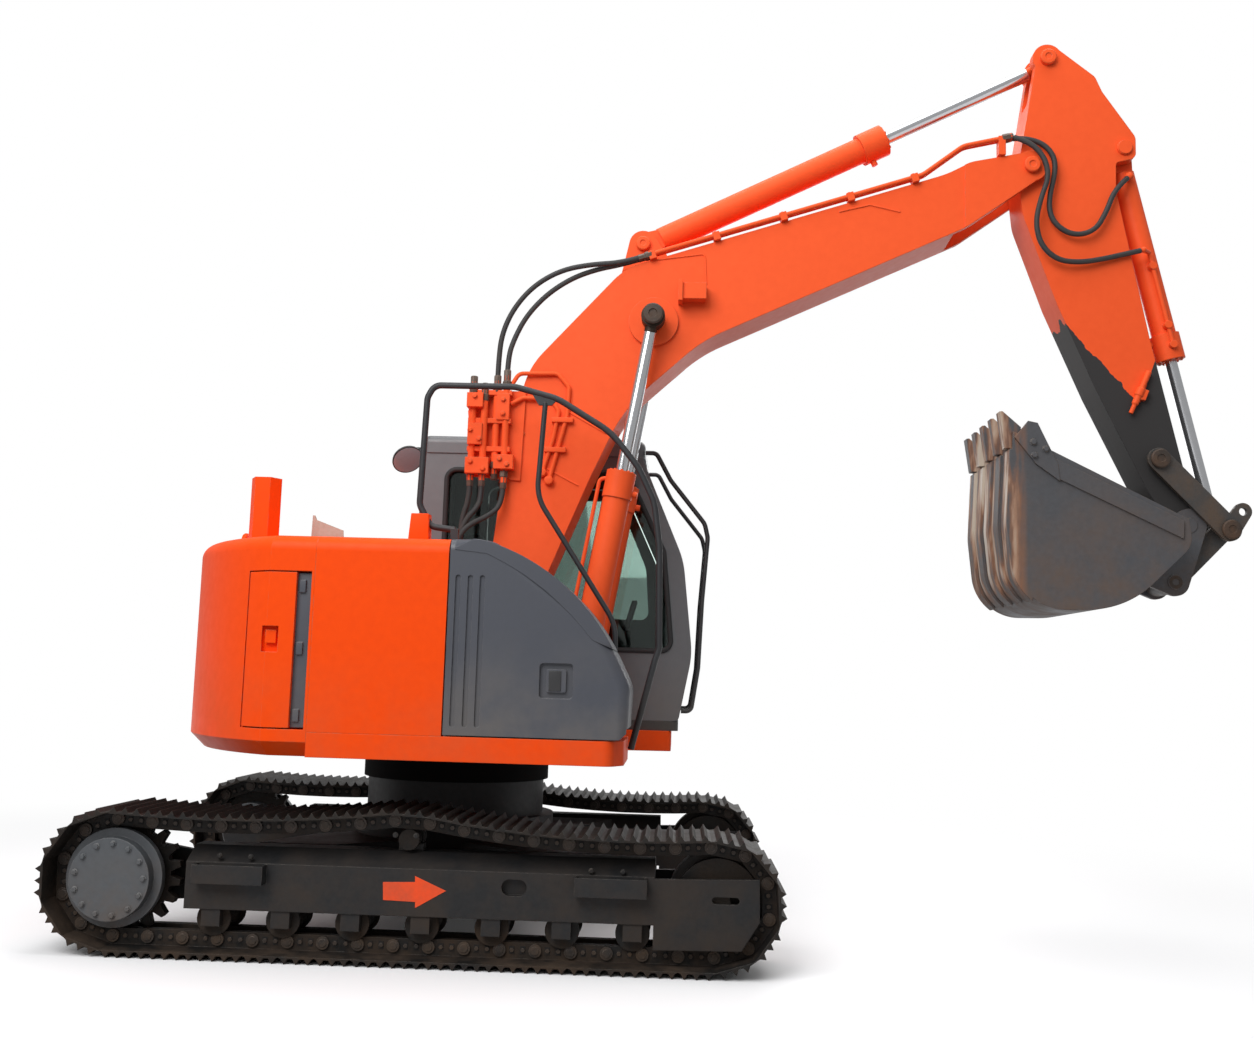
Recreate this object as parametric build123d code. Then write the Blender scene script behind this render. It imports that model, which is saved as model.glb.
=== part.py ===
from build123d import *
import os
from math import cos, hypot, pi, sin, sqrt, tan, radians

# Crawler excavator of the thirteen-tonne class with a short tail, standing on its tracks.
# Millimetres; +X forward, +Y to the machine's left, +Z up, origin on the ground on the slewing axis.

# Undercarriage
TUMBLER_SPAN = 2900       # sprocket axle to idler axle
TRACK_GAUGE = 1990
SHOE_WIDTH = 500
SHOES = 44                # shoes in one track
SPROCKET_PIN_R = 275      # chain pin line round the sprocket
IDLER_PIN_R = 255         # chain pin line round the idler
PIN_TO_TIP = 75           # chain pin line to the grouser tips
PLATE_TOP = 50            # chain pin line to the shoe plate's outer face
PLATE_BOTTOM = 40         # chain pin line to the shoe plate's inner face
GROUSER_BASE = 32         # width of a grouser at the plate
RAIL_DEPTH = 35           # chain pin line to the running face of the links
RAIL_WIDTH = 45
RAIL_SPACING = 150        # between the middles of the two link rows
FUSE = 2                  # how far fused pieces run into each other
CARRIER_X = -40
CARRIER_PIN_Z = 669       # chain pin line over the carrier roller
CARRIER_R = 50
CARRIER_AXLE_R = 25
CHAIN_DIP = 14            # links between two pins hang this far below the pin line's arc
POST_HALF = 30            # half the width of the carrier roller's post
REAR_SAG = 38             # sag of the top run behind and ahead of the carrier roller
FRONT_SAG = 50
ROLLERS = 7
ROLLER_FIRST_X = -TUMBLER_SPAN / 2 + 490
ROLLER_PITCH = (TUMBLER_SPAN - 890) / (ROLLERS - 1)
ROLLER_R = 64
ROLLER_FLANGE_R = 82
ROLLER_LENGTH = 234
IDLER_TREAD_R = 203
IDLER_FLANGE_R = 240
SPROCKET_TEETH = 20
SPROCKET_ROOT_R = 232
SPROCKET_TIP_R = 282
SPROCKET_WIDTH = 52
DRIVE_R = 195             # round cover of the final drive
DRIVE_OUT = 205           # track middle to the outer face of the final drive
FRAME_HALF = 175          # half the width of a track frame
FRAME_REAR_X = -TUMBLER_SPAN / 2 + 360
FRAME_FRONT_X = TUMBLER_SPAN / 2 - 300
FRAME_BOTTOM_Z = 225
FRAME_SHOULDER_Z = 445
CHANNEL_TOP_Z = 275       # roof of the channel that the rollers run in
FRAME_RIDGE_Z = 512
STEP_Z = 352              # steps on the outer side of a track frame
STEP_HEIGHT = 88
STEP_LENGTH = 340
STEP_DEPTH = 70
STEP_WALL = 12
BODY_BOTTOM_Z = 430       # belly of the car body
BODY_TOP_Z = 610
SLEW_R = 490
SLEW_SPLIT_Z = 800        # lower ring ends here, upper ring starts a running gap above

# Upper structure
SILL_Z = 955              # underside of the deck
DECK_Z = 1073
HOOD_Z = 2020
HALF_WIDTH = 1240
TAIL_R = 1450
SEAM_X = -530             # counterweight meets the side panels
PANEL_FRONT_X = 118       # engine panel meets the front cover
SKIN = 30                 # sheet covers with their frames
TOP_FILLET = 70
COVER_GAP = 6             # gap round doors and covers
COVER_IN_Y = -740         # inner edge of the front cover
RIGHT_DECK_X = 985
LEFT_DECK_X = 1205
CAB_Y = 300               # right wall of the cab
CAB_LEFT_Y = HALF_WIDTH - 4
CAB_WALL = 55
CAB_FLOOR_Z = 1130
CAB_TOP_Z = 2700
CAB_ROOF_Z = 2810
GLASS = 6

# Working equipment: pins as (x, z) places in the photographed pose
BOOM_Y = -110             # middle plane of boom, arm and bucket
BOOM_FOOT = (270, 1680)
BOOM_RAM_BASE = (690, 1260)
BOOM_RAM_EYE = (1051, 3377)
ARM_RAM_BASE = (977, 3861)
ARM_RAM_EYE = (3282, 4994)
ARM_PIVOT = (3174, 4328)
BUCKET_RAM_BASE = (3711, 4460)
GUIDE_PIVOT = (3847, 2651)
LINK_PIN = (4220, 2269)
BUCKET_PIVOT = (4016, 2292)
BUCKET_LINK_PIN = (3932, 1978)
BOOM_WIDTH = 340
BOOM_RAM_Y = 275          # boom cylinders to each side of the boom's middle
ARM_WIDTH = 260
FORK_GAP = 280            # between the boom's two tip plates
BUCKET_WIDTH = 940
PIN_GAP = 0.3             # radial running clearance of a pin in its bore
SIDE_GAP = 0.5            # side play between an eye and its lugs
BIG_PIN_R = 40
LINK_PIN_R = 32

SIDES = (("right", -1), ("left", 1))
LOW = (Align.CENTER, Align.CENTER, Align.MIN)
nodes = {}


def outline(table):
    """Closed outline from rows of (across, up, corner radius)."""
    points = [(across, up) for across, up, radius in table]
    return make_face(FilletPolyline(*points, radius=[radius for across, up, radius in table], close=True))


def plate(face, y_from, y_to):
    """Extrude an outline drawn in X and Z between two Y places."""
    return extrude(Plane.XZ.offset(-y_from) * face, y_to - y_from, dir=(0, 1, 0))


def along_x(face, x_from, x_to):
    """Extrude an outline drawn in Y and Z between two X places."""
    return extrude(Plane.YZ.offset(x_from) * face, x_to - x_from, dir=(1, 0, 0))


def upright(face, z_from, z_to):
    """Extrude an outline drawn in X and Y between two heights."""
    return extrude(Plane.XY.offset(z_from) * face, z_to - z_from, dir=(0, 0, 1))


def block(x, y, z):
    """Box between the two limits given for each axis."""
    size = (x[1] - x[0], y[1] - y[0], z[1] - z[0])
    return Pos(x[0], y[0], z[0]) * Box(*size, align=(Align.MIN, Align.MIN, Align.MIN))


def cross_pin(place, radius, y_from, y_to):
    """Round bar along Y at an (x, z) place."""
    return Pos(place[0], y_from, place[1]) * Rot(-90, 0, 0) * Cylinder(radius, y_to - y_from, align=LOW)


def disc(place, radius):
    return Pos(*place) * Circle(radius)


def link_shape(first, first_r, second, second_r):
    """Outline of a link with a round end at each of two pins."""
    return make_hull((disc(first, first_r).edges() + disc(second, second_r).edges()))


def round_bar(start, end, radius):
    """Round bar between two points in space."""
    axis = Vector(*end) - Vector(*start)
    return Plane(origin=start, z_dir=axis) * Cylinder(radius, axis.length, align=LOW)


def tube(points, radii, radius):
    """Bent round tube along straight runs and arcs."""
    path = FilletPolyline(*points, radius=radii)
    return sweep(Plane(origin=path @ 0, z_dir=path % 0) * Circle(radius), path=path)


def between(first, second, distance):
    """Point on the line from one pin towards another, a distance from the first."""
    span = hypot(second[0] - first[0], second[1] - first[1])
    share = distance / span
    return (first[0] + (second[0] - first[0]) * share, first[1] + (second[1] - first[1]) * share)


def track_pins():
    """Chain pins, evenly spaced along the closed pin line of one track."""
    rear = -TUMBLER_SPAN / 2
    front = TUMBLER_SPAN / 2
    low = PIN_TO_TIP
    rear_top = (rear, low + 2 * SPROCKET_PIN_R)
    front_top = (front, low + 2 * IDLER_PIN_R)
    carrier = (CARRIER_X, CARRIER_PIN_Z)
    front_mid = ((CARRIER_X + front) / 2, (CARRIER_PIN_Z + front_top[1]) / 2 - FRONT_SAG)
    rear_mid = ((CARRIER_X + rear) / 2, (CARRIER_PIN_Z + rear_top[1]) / 2 - REAR_SAG)
    line = Wire([
        Line((rear, low), (front, low)),
        ThreePointArc((front, low), (front + IDLER_PIN_R, low + IDLER_PIN_R), front_top),
        ThreePointArc(front_top, front_mid, carrier),
        ThreePointArc(carrier, rear_mid, rear_top),
        ThreePointArc(rear_top, (rear - SPROCKET_PIN_R, low + SPROCKET_PIN_R), (rear, low)),
    ])
    step = line.length / SHOES
    return [line.position_at(step * k, PositionMode.LENGTH) for k in range(SHOES)]


def ring_offset(pins, out):
    """Closed polygon of the pins moved outwards by a distance, square to the chain."""
    points = []
    for k, pin in enumerate(pins):
        way = (pins[(k + 1) % SHOES] - pins[k - 1]).normalized()
        points.append((pin.X + way.Y * out, pin.Y - way.X * out))
    return points


def shoe_ring(pins):
    """Outer outline of the track, with three grousers to a shoe."""
    points = []
    for k, pin in enumerate(pins):
        chord = pins[(k + 1) % SHOES] - pin
        way = chord.normalized()
        profile = [(0, PLATE_BOTTOM + 2 * FUSE)]
        for share in (0.17, 0.5, 0.83):
            middle = chord.length * share
            profile += [(middle - GROUSER_BASE / 2, PLATE_TOP)]
            profile += [(middle, PIN_TO_TIP)]
            profile += [(middle + GROUSER_BASE / 2, PLATE_TOP)]
        points += [(pin.X + way.X * s + way.Y * h, pin.Y + way.Y * s - way.X * h) for s, h in profile]
    return points


def ring_face(outer, inner):
    return Face(Wire.make_polygon(outer), [Wire.make_polygon(inner)])


def make_track(y_mid):
    """One loop: shoe plates with grousers, carried by two rows of links."""
    pins = track_pins()
    half = SHOE_WIDTH / 2
    loop = plate(ring_face(shoe_ring(pins), ring_offset(pins, PLATE_BOTTOM)), y_mid - half, y_mid + half)
    rail = ring_face(ring_offset(pins, PLATE_BOTTOM + FUSE), ring_offset(pins, -RAIL_DEPTH))
    for row in (-1, 1):
        rail_y = y_mid + row * RAIL_SPACING / 2
        loop = loop + plate(rail, rail_y - RAIL_WIDTH / 2, rail_y + RAIL_WIDTH / 2)
    return loop


SPROCKET = (-TUMBLER_SPAN / 2, PIN_TO_TIP + SPROCKET_PIN_R)
IDLER = (TUMBLER_SPAN / 2, PIN_TO_TIP + IDLER_PIN_R)
ROLLER_Z = PIN_TO_TIP + RAIL_DEPTH + ROLLER_R + PIN_GAP
RAIL_OUT = RAIL_SPACING / 2 + RAIL_WIDTH / 2
CARRIER_Z = CARRIER_PIN_Z - RAIL_DEPTH - CARRIER_R - CHAIN_DIP


def sprocket_outline():
    """Toothed ring with flat-topped teeth."""
    points = []
    for tooth in range(SPROCKET_TEETH):
        for share, radius in ((0.0, SPROCKET_ROOT_R), (0.3, SPROCKET_ROOT_R),
                              (0.5, SPROCKET_TIP_R), (0.8, SPROCKET_TIP_R)):
            turn = 2 * pi * (tooth + share) / SPROCKET_TEETH
            points.append((SPROCKET[0] + radius * cos(turn), SPROCKET[1] + radius * sin(turn)))
    return Polygon(*points, align=None)


def make_track_frame(side):
    """Box beam with roller brackets, idler guard plates, steps and the final drive's mounting plate."""
    mid = side * TRACK_GAUGE / 2
    channel = ROLLER_LENGTH / 2 + 6
    section = Polygon(
        (-FRAME_HALF, FRAME_BOTTOM_Z), (-channel, FRAME_BOTTOM_Z), (-channel, CHANNEL_TOP_Z),
        (channel, CHANNEL_TOP_Z), (channel, FRAME_BOTTOM_Z), (FRAME_HALF, FRAME_BOTTOM_Z),
        (FRAME_HALF, FRAME_SHOULDER_Z), (FRAME_HALF / 3, FRAME_RIDGE_Z), (-FRAME_HALF / 3, FRAME_RIDGE_Z),
        (-FRAME_HALF, FRAME_SHOULDER_Z), align=None)
    frame = Pos(0, mid, 0) * along_x(section, FRAME_REAR_X, FRAME_FRONT_X)
    bracket_in = ROLLER_LENGTH / 2
    for k in range(ROLLERS):
        x = ROLLER_FIRST_X + k * ROLLER_PITCH
        for flank in (-1, 1):
            y = sorted((mid + flank * bracket_in, mid + flank * (FRAME_HALF - 8)))
            frame = frame + block((x - 45, x + 45), y, (ROLLER_Z - 30, FRAME_BOTTOM_Z + FUSE))
    guard = Polygon((FRAME_FRONT_X - FUSE, 436), (IDLER[0] + 194, 450), (IDLER[0] + 197, 254),
                    (IDLER[0] + 113, 120), (FRAME_FRONT_X - FUSE, 112), align=None)
    guard = guard - Pos(IDLER[0] + 36, IDLER[1] + 18) * SlotOverall(130, 32)
    for flank in (-1, 1):
        y = sorted((mid + flank * (FRAME_HALF - 28), mid + flank * FRAME_HALF))
        frame = frame + plate(guard, *y)
    corner = Polygon((FRAME_REAR_X, FRAME_BOTTOM_Z), (FRAME_REAR_X, FRAME_SHOULDER_Z),
                     (FRAME_REAR_X - 10, FRAME_SHOULDER_Z), align=None)
    arm = make_hull(disc(SPROCKET, 150).edges() + corner.edges())
    y = sorted((mid - side * (FRAME_HALF - 40), mid - side * FRAME_HALF))
    frame = frame + plate(arm, *y)
    post_top = CARRIER_Z - CARRIER_AXLE_R
    y = (mid - POST_HALF, mid + POST_HALF)
    frame = frame + block((CARRIER_X - 60, CARRIER_X + 60), y, (FRAME_RIDGE_Z - FUSE, post_top))
    outer = mid + side * FRAME_HALF
    for x in (FRAME_REAR_X + 50, FRAME_FRONT_X - 375):
        y = sorted((outer - side * FUSE, outer + side * STEP_DEPTH))
        step = block((x, x + STEP_LENGTH), y, (STEP_Z, STEP_Z + STEP_HEIGHT))
        hole_x = (x + STEP_WALL, x + STEP_LENGTH - STEP_WALL)
        hole_y = sorted((outer, outer + side * (STEP_DEPTH - STEP_WALL)))
        frame = frame + (step - block(hole_x, hole_y, (STEP_Z - 1, STEP_Z + STEP_HEIGHT + 1)))
    y = sorted((outer - side * 40, outer + side))
    return frame - plate(Pos(486, 374) * SlotOverall(120, 76), *y)


for name, side in SIDES:
    nodes["track_" + name] = make_track(side * TRACK_GAUGE / 2)
    nodes["track_frame_" + name] = make_track_frame(side)


def per_side(make):
    """The same piece for the right and the left track, as separate solids."""
    return Compound([make(side * TRACK_GAUGE / 2, side) for name, side in SIDES])


def make_roller(x, mid):
    half = ROLLER_LENGTH / 2
    roller = cross_pin((x, ROLLER_Z), ROLLER_R, mid - half, mid + half)
    for flank in (-1, 1):
        y = sorted((mid + flank * (RAIL_OUT + 3), mid + flank * half))
        roller = roller + cross_pin((x, ROLLER_Z), ROLLER_FLANGE_R, *y)
    return roller


def make_idler(mid, side):
    reach = FRAME_HALF - 28
    wheel = cross_pin(IDLER, IDLER_TREAD_R, mid - RAIL_OUT, mid + RAIL_OUT)
    rib = RAIL_SPACING / 2 - RAIL_WIDTH / 2 - 4
    wheel = wheel + cross_pin(IDLER, IDLER_FLANGE_R, mid - rib, mid + rib)
    return wheel + cross_pin(IDLER, 60, mid - reach, mid + reach)


def make_drive(mid, side):
    outer = mid + side * DRIVE_OUT
    inner = mid - side * (FRAME_HALF - 40)
    drum = cross_pin(SPROCKET, DRIVE_R - 25, *sorted((outer, inner)))
    cover = cross_pin(SPROCKET, DRIVE_R, *sorted((outer, mid + side * (RAIL_OUT + 45))))
    flange_y = sorted((mid + side * (RAIL_OUT + 5), mid + side * (RAIL_OUT + 45)))
    return drum + cover + cross_pin(SPROCKET, DRIVE_R + 40, *flange_y)


def make_sprocket(mid, side):
    ring = plate(sprocket_outline(), mid - SPROCKET_WIDTH / 2, mid + SPROCKET_WIDTH / 2)
    return ring - cross_pin(SPROCKET, DRIVE_R - 25, mid - SPROCKET_WIDTH, mid + SPROCKET_WIDTH)


def make_carrier(mid, side):
    """Two short treads on an axle that lies on the frame's post."""
    centre = (CARRIER_X, CARRIER_Z)
    roller = cross_pin(centre, CARRIER_R, mid - RAIL_OUT, mid + RAIL_OUT)
    roller = roller - cross_pin(centre, CARRIER_R * 2, mid - POST_HALF - 6, mid + POST_HALF + 6)
    return roller + cross_pin(centre, CARRIER_AXLE_R, mid - RAIL_OUT, mid + RAIL_OUT)


nodes["track_rollers"] = Compound([
    make_roller(ROLLER_FIRST_X + k * ROLLER_PITCH, side * TRACK_GAUGE / 2)
    for name, side in SIDES for k in range(ROLLERS)])
nodes["idlers"] = per_side(make_idler)
nodes["final_drives"] = per_side(make_drive)
nodes["sprockets"] = per_side(make_sprocket)
nodes["carrier_rollers"] = per_side(make_carrier)

# Car body: belly box on four legs between the track frames, with the lower slewing ring
LEG_WIDTH = 370
leg_y = TRACK_GAUGE / 2 - FRAME_HALF
leg_out = FRAME_FRONT_X - 300
leg_in = leg_out - LEG_WIDTH
waist = SLEW_R + 30
CROTCH = 430
legs = Polygon(
    (-leg_out, -leg_y), (-leg_in, -leg_y), (0, -CROTCH), (leg_in, -leg_y), (leg_out, -leg_y), (waist, 0),
    (leg_out, leg_y), (leg_in, leg_y), (0, CROTCH), (-leg_in, leg_y), (-leg_out, leg_y), (-waist, 0),
    align=None)
car_body = upright(legs, BODY_BOTTOM_Z, BODY_TOP_Z - 110)
car_body = car_body + upright(Circle(SLEW_R + 60), BODY_BOTTOM_Z, BODY_TOP_Z)
nodes["car_body"] = car_body + upright(Circle(SLEW_R), BODY_TOP_Z - FUSE, SLEW_SPLIT_Z)

# Main frame: deck with side sills, boom brackets, cylinder lugs and the upper slewing ring
deck_plan = outline((
    (SEAM_X, -HALF_WIDTH, 0), (RIGHT_DECK_X - 60, -HALF_WIDTH, 60), (RIGHT_DECK_X, -HALF_WIDTH + 120, 60),
    (RIGHT_DECK_X, -560, 40), (820, -480, 40), (820, CAB_Y - 60, 40), (LEFT_DECK_X, CAB_Y, 30),
    (LEFT_DECK_X, HALF_WIDTH, 60), (SEAM_X, HALF_WIDTH, 0)))
main_frame = upright(deck_plan, SILL_Z, DECK_Z)
main_frame = main_frame + upright(Circle(SLEW_R + 25), SLEW_SPLIT_Z + PIN_GAP, SILL_Z + FUSE)
BRACKET = 25              # plates that carry the boom foot
EYE_HALF = 45             # half the width of a cylinder eye
half_boom = BOOM_WIDTH / 2
lug = make_hull(disc(BOOM_FOOT, 130).edges() + disc(BOOM_RAM_BASE, 85).edges() + Polygon(
    (-260, DECK_Z - FUSE), (780, DECK_Z - FUSE), (780, DECK_Z), align=None).edges())
ram_lug = make_hull(disc(BOOM_RAM_BASE, 85).edges() + Polygon(
    (590, DECK_Z - FUSE), (780, DECK_Z - FUSE), (780, DECK_Z), align=None).edges())
for side in (-1, 1):
    in_face = half_boom + SIDE_GAP
    y = sorted((BOOM_Y + side * in_face, BOOM_Y + side * (in_face + BRACKET)))
    main_frame = main_frame + plate(lug, *y)
    boss_y = (in_face + BRACKET - FUSE, BOOM_RAM_Y - EYE_HALF - SIDE_GAP)
    boss = sorted(BOOM_Y + side * y for y in boss_y)
    main_frame = main_frame + cross_pin(BOOM_RAM_BASE, 70, *boss)
    outer = BOOM_RAM_Y + EYE_HALF + SIDE_GAP
    y = sorted((BOOM_Y + side * outer, BOOM_Y + side * (outer + 30)))
    main_frame = main_frame + plate(ram_lug, *y)
pin_reach = half_boom + 60
main_frame = main_frame + cross_pin(BOOM_FOOT, BIG_PIN_R, BOOM_Y - pin_reach, BOOM_Y + pin_reach)
pin_reach = BOOM_RAM_Y + EYE_HALF + 45
main_frame = main_frame + cross_pin(BOOM_RAM_BASE, BIG_PIN_R, BOOM_Y - pin_reach, BOOM_Y + pin_reach)
nodes["main_frame"] = main_frame

# Counterweight: round tail with thin wings to the side seams, a lid opening on top and a door on the right
tail_zone = Pos(SEAM_X, 0) * Rectangle(2 * TAIL_R, 2 * HALF_WIDTH, align=(Align.MAX, Align.CENTER))
tail_plan = Circle(TAIL_R) & tail_zone
tail = upright(tail_plan, SILL_Z, HOOD_Z)
rim = [edge for edge in tail.edges().filter_by_position(Axis.Z, HOOD_Z - 1, HOOD_Z + 1)
       if edge.center().X < SEAM_X - 1]
tail = fillet(rim, TOP_FILLET)
rim = [edge for edge in tail.edges().filter_by_position(Axis.Z, SILL_Z - 1, SILL_Z + 1)
       if edge.center().X < SEAM_X - 1]
tail = chamfer(rim, TOP_FILLET)
WING = 45                 # wall beside the engine bay
BAY_REAR_X = 400 - TAIL_R
bay_plan = (Circle(TAIL_R - WING) & (Pos(BAY_REAR_X, 0) * Rectangle(
    BAY_REAR_X * -1 + SEAM_X + 1, 2 * (HALF_WIDTH - WING), align=(Align.MIN, Align.CENTER))))
DOOR_X = (SEAM_X - 342, SEAM_X - 88)
PIVOT_R = 6               # pivot pins under doors and covers
hinge_x = DOOR_X[0] + PIVOT_R
SERVICE_HINGE = (hinge_x, PIVOT_R + 2 - min(HALF_WIDTH, sqrt(TAIL_R ** 2 - hinge_x ** 2)))
DOOR_Z = (1090, 1837)
JAMB_X = SEAM_X - 15
door_zone = block((DOOR_X[0], DOOR_X[1]), (-TAIL_R, -700), DOOR_Z)
opening_z = (DOOR_Z[0] - COVER_GAP, DOOR_Z[1] + COVER_GAP)
opening = block((DOOR_X[0] - COVER_GAP, JAMB_X), (-TAIL_R, -700), opening_z)
wing_core = Circle(TAIL_R - WING) & Rectangle(2 * TAIL_R, 2 * (HALF_WIDTH - WING))
wing_shell = upright(tail_plan - wing_core, *DOOR_Z)
LID_X = (-880, -20)
LID_Y = (-600, 270)
LID_REST = 40             # ledge that the lid lies on
tail = tail - upright(bay_plan, DECK_Z, HOOD_Z - SKIN)
lid_hole_y = (LID_Y[0] + LID_REST, LID_Y[1] - LID_REST)
tail = tail - block((LID_X[0] + LID_REST, SEAM_X + 1), lid_hole_y, (HOOD_Z - 2 * TOP_FILLET, HOOD_Z + 1))
nodes["counterweight"] = tail - opening
door_pivot = upright(Pos(*SERVICE_HINGE) * Circle(PIVOT_R), DOOR_Z[0] - COVER_GAP + PIN_GAP, DOOR_Z[0] + FUSE)
HANDLE_X = SEAM_X - 205    # middle of the door's handle recess
HANDLE_Z = 1512
recess_y = (-HALF_WIDTH, -HALF_WIDTH + 45)
recess = block((HANDLE_X - 42, HANDLE_X + 42), recess_y, (HANDLE_Z - 62, HANDLE_Z + 62))
grip_y = (-HALF_WIDTH + 20, -HALF_WIDTH + 47)
grip = block((HANDLE_X - 26, HANDLE_X + 26), grip_y, (HANDLE_Z - 20, HANDLE_Z + 44))
service_door = (wing_shell & door_zone) - recess + (grip & wing_shell) + door_pivot
nodes["service_door"] = service_door

# Engine, as one block on the deck
ENGINE_X = (BAY_REAR_X + 70, -300)
ENGINE_HALF = 420
engine = block((ENGINE_X[0], SEAM_X - 30), (-ENGINE_HALF, ENGINE_HALF), (DECK_Z, HOOD_Z - 220))
nodes["engine"] = engine + block((SEAM_X - 32, ENGINE_X[1]), (-300, 300), (DECK_Z, HOOD_Z - 320))


# Sheet covers over the engine bay: right panel, left panel, and the lid between them
def cover_section(side, inner_y):
    """Upright wall with a rounded shoulder and a flat top that reaches inwards."""
    wall_in = side * (HALF_WIDTH - SKIN)
    return outline((
        (side * HALF_WIDTH, DECK_Z, 0), (side * HALF_WIDTH, HOOD_Z, TOP_FILLET), (inner_y, HOOD_Z, 0),
        (inner_y, HOOD_Z - SKIN, 0), (wall_in, HOOD_Z - SKIN, TOP_FILLET - SKIN), (wall_in, DECK_Z, 0)))


BOOM_BAY_X = 40           # sheet top ends here behind the boom
right_panel = along_x(cover_section(-1, LID_Y[0] + LID_REST), SEAM_X, PANEL_FRONT_X)
cross_y = (LID_Y[0], CAB_Y - 12)
nodes["right_panel"] = right_panel + block((BOOM_BAY_X - 60, BOOM_BAY_X), cross_y, (HOOD_Z - SKIN, HOOD_Z))
CAB_REAR_X = -350
LOUVRES = 14
left_panel = along_x(cover_section(1, LID_Y[1] - LID_REST), SEAM_X, CAB_REAR_X - 22)
for k in range(LOUVRES):
    z = DECK_Z + 120 + k * 50
    louvre_y = (HALF_WIDTH - SKIN - 1, HALF_WIDTH + 1)
    left_panel = left_panel - block((SEAM_X + 20, CAB_REAR_X - 42), louvre_y, (z, z + 18))
nodes["left_panel"] = left_panel
nodes["engine_lid"] = block(LID_X, LID_Y, (HOOD_Z + PIN_GAP, HOOD_Z + SKIN))
STACK_TOP_Z = 2384
STACK_WALL = 8
stack_plan = Pos(BAY_REAR_X + 50, LID_Y[0]) * RegularPolygon(82, 6, rotation=0)
stack = upright(stack_plan, HOOD_Z, STACK_TOP_Z)
nodes["exhaust_stack"] = stack - upright(offset(stack_plan, -STACK_WALL), HOOD_Z + 130, STACK_TOP_Z + 1)

# Front cover over the tank: curved shell that opens on its rear edge
cover_side = outline((
    (PANEL_FRONT_X + COVER_GAP, DECK_Z + COVER_GAP, 0), (PANEL_FRONT_X + COVER_GAP, HOOD_Z, 0),
    (330, HOOD_Z, 160),
    (880, 1600, 700), (1012, 1330, 160), (1003, 1115, 0), (965, DECK_Z + COVER_GAP, 0)))
cover_core = offset(cover_side, -SKIN, kind=Kind.INTERSECTION)
front_cover = plate(cover_side, -HALF_WIDTH, COVER_IN_Y)
rim = [edge for edge in front_cover.edges().filter_by_position(Axis.Y, -HALF_WIDTH - 1, -HALF_WIDTH + 1)
       if edge.center().X > PANEL_FRONT_X + 100 and edge.center().Z > DECK_Z + 100]
front_cover = fillet(rim, 55)
front_cover = front_cover - plate(cover_core, -HALF_WIDTH + SKIN, COVER_IN_Y + 1)
cover_y = (-HALF_WIDTH + SKIN, COVER_IN_Y)
front_cover = front_cover - block((PANEL_FRONT_X, RIGHT_DECK_X + 100), cover_y, (DECK_Z, DECK_Z + 2 * SKIN))
front_cover = front_cover - block((PANEL_FRONT_X, PANEL_FRONT_X + 2 * SKIN), cover_y, (DECK_Z, HOOD_Z - SKIN))
COVER_HINGE = (PANEL_FRONT_X + 16, -HALF_WIDTH + 9)
cover_pivot = upright(Pos(*COVER_HINGE) * Circle(PIVOT_R), DECK_Z + PIN_GAP, DECK_Z + COVER_GAP + FUSE)
GROOVE = 10                # depth of the pressed grooves
groove_y = (-HALF_WIDTH - 1, -HALF_WIDTH + GROOVE)
for x in (PANEL_FRONT_X + 49, PANEL_FRONT_X + 109, PANEL_FRONT_X + 167):
    front_cover = front_cover - plate(Pos(x, 1482) * Rot(0, 0, 90) * SlotOverall(725, 24), *groove_y)
LATCH = (657, 1350)
latch_y = (-HALF_WIDTH - 1, -HALF_WIDTH + 2 * GROOVE)
front_cover = front_cover - plate(Pos(*LATCH) * RectangleRounded(160, 166, 18), *latch_y)
paddle_y = (-HALF_WIDTH + GROOVE / 2, -HALF_WIDTH + 2 * GROOVE + FUSE)
front_cover = front_cover + plate(Pos(*LATCH) * RectangleRounded(96, 110, 12), *paddle_y)
nodes["front_cover"] = front_cover + cover_pivot
nodes["fuel_tank"] = block((180, 760), (-HALF_WIDTH + 2 * SKIN, COVER_IN_Y - SKIN), (DECK_Z, 1560))

# Cab: floor, welded shell with cut windows, roof, panes, door, seat and consoles
CAB_SIDE = ((CAB_REAR_X, CAB_FLOOR_Z, 30), (CAB_REAR_X, CAB_TOP_Z + 200, 0), (905, CAB_TOP_Z + 200, 0),
            (1255, 2080, 500),
            (1318, 1520, 500), (1245, CAB_FLOOR_Z, 30))
cab_side = outline(CAB_SIDE)
cab_core = offset(cab_side, -CAB_WALL, kind=Kind.INTERSECTION)
shell = plate(cab_side, CAB_Y, CAB_LEFT_Y) - plate(cab_core, CAB_Y + CAB_WALL, CAB_LEFT_Y - CAB_WALL)
shell = shell - block((-400, 1400), (CAB_Y - 1, CAB_LEFT_Y + 1), (CAB_TOP_Z, CAB_TOP_Z + 300))
inside_y = (CAB_Y + CAB_WALL, CAB_LEFT_Y - CAB_WALL)
shell = shell - block((CAB_REAR_X - 50, 1400), inside_y, (CAB_FLOOR_Z - 1, CAB_FLOOR_Z + CAB_WALL + 1))
window_side = outline((
    (-190, 1540, 40), (-190, 2600, 60), (905, 2600, 60), (1135, 2130, 300), (1195, 1540, 40)))
PILLAR = 80
right_window = plate(window_side, CAB_Y - 1, CAB_Y + CAB_WALL + 1)
front_window = block((900, 1400), (CAB_Y + PILLAR, CAB_LEFT_Y - PILLAR), (1230, 2640))
rear_window = block((-400, -290), (CAB_Y + 2 * PILLAR, CAB_LEFT_Y - 2 * PILLAR), (1640, 2600))
DOOR_SIDE = ((-60, CAB_FLOOR_Z + 40, 40), (-60, 2620, 60), (850, 2620, 60), (1090, 2100, 300),
             (1130, 1500, 200),
             (900, CAB_FLOOR_Z + 40, 120))
door_side = outline(DOOR_SIDE)
HINGE_R = 13
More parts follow.
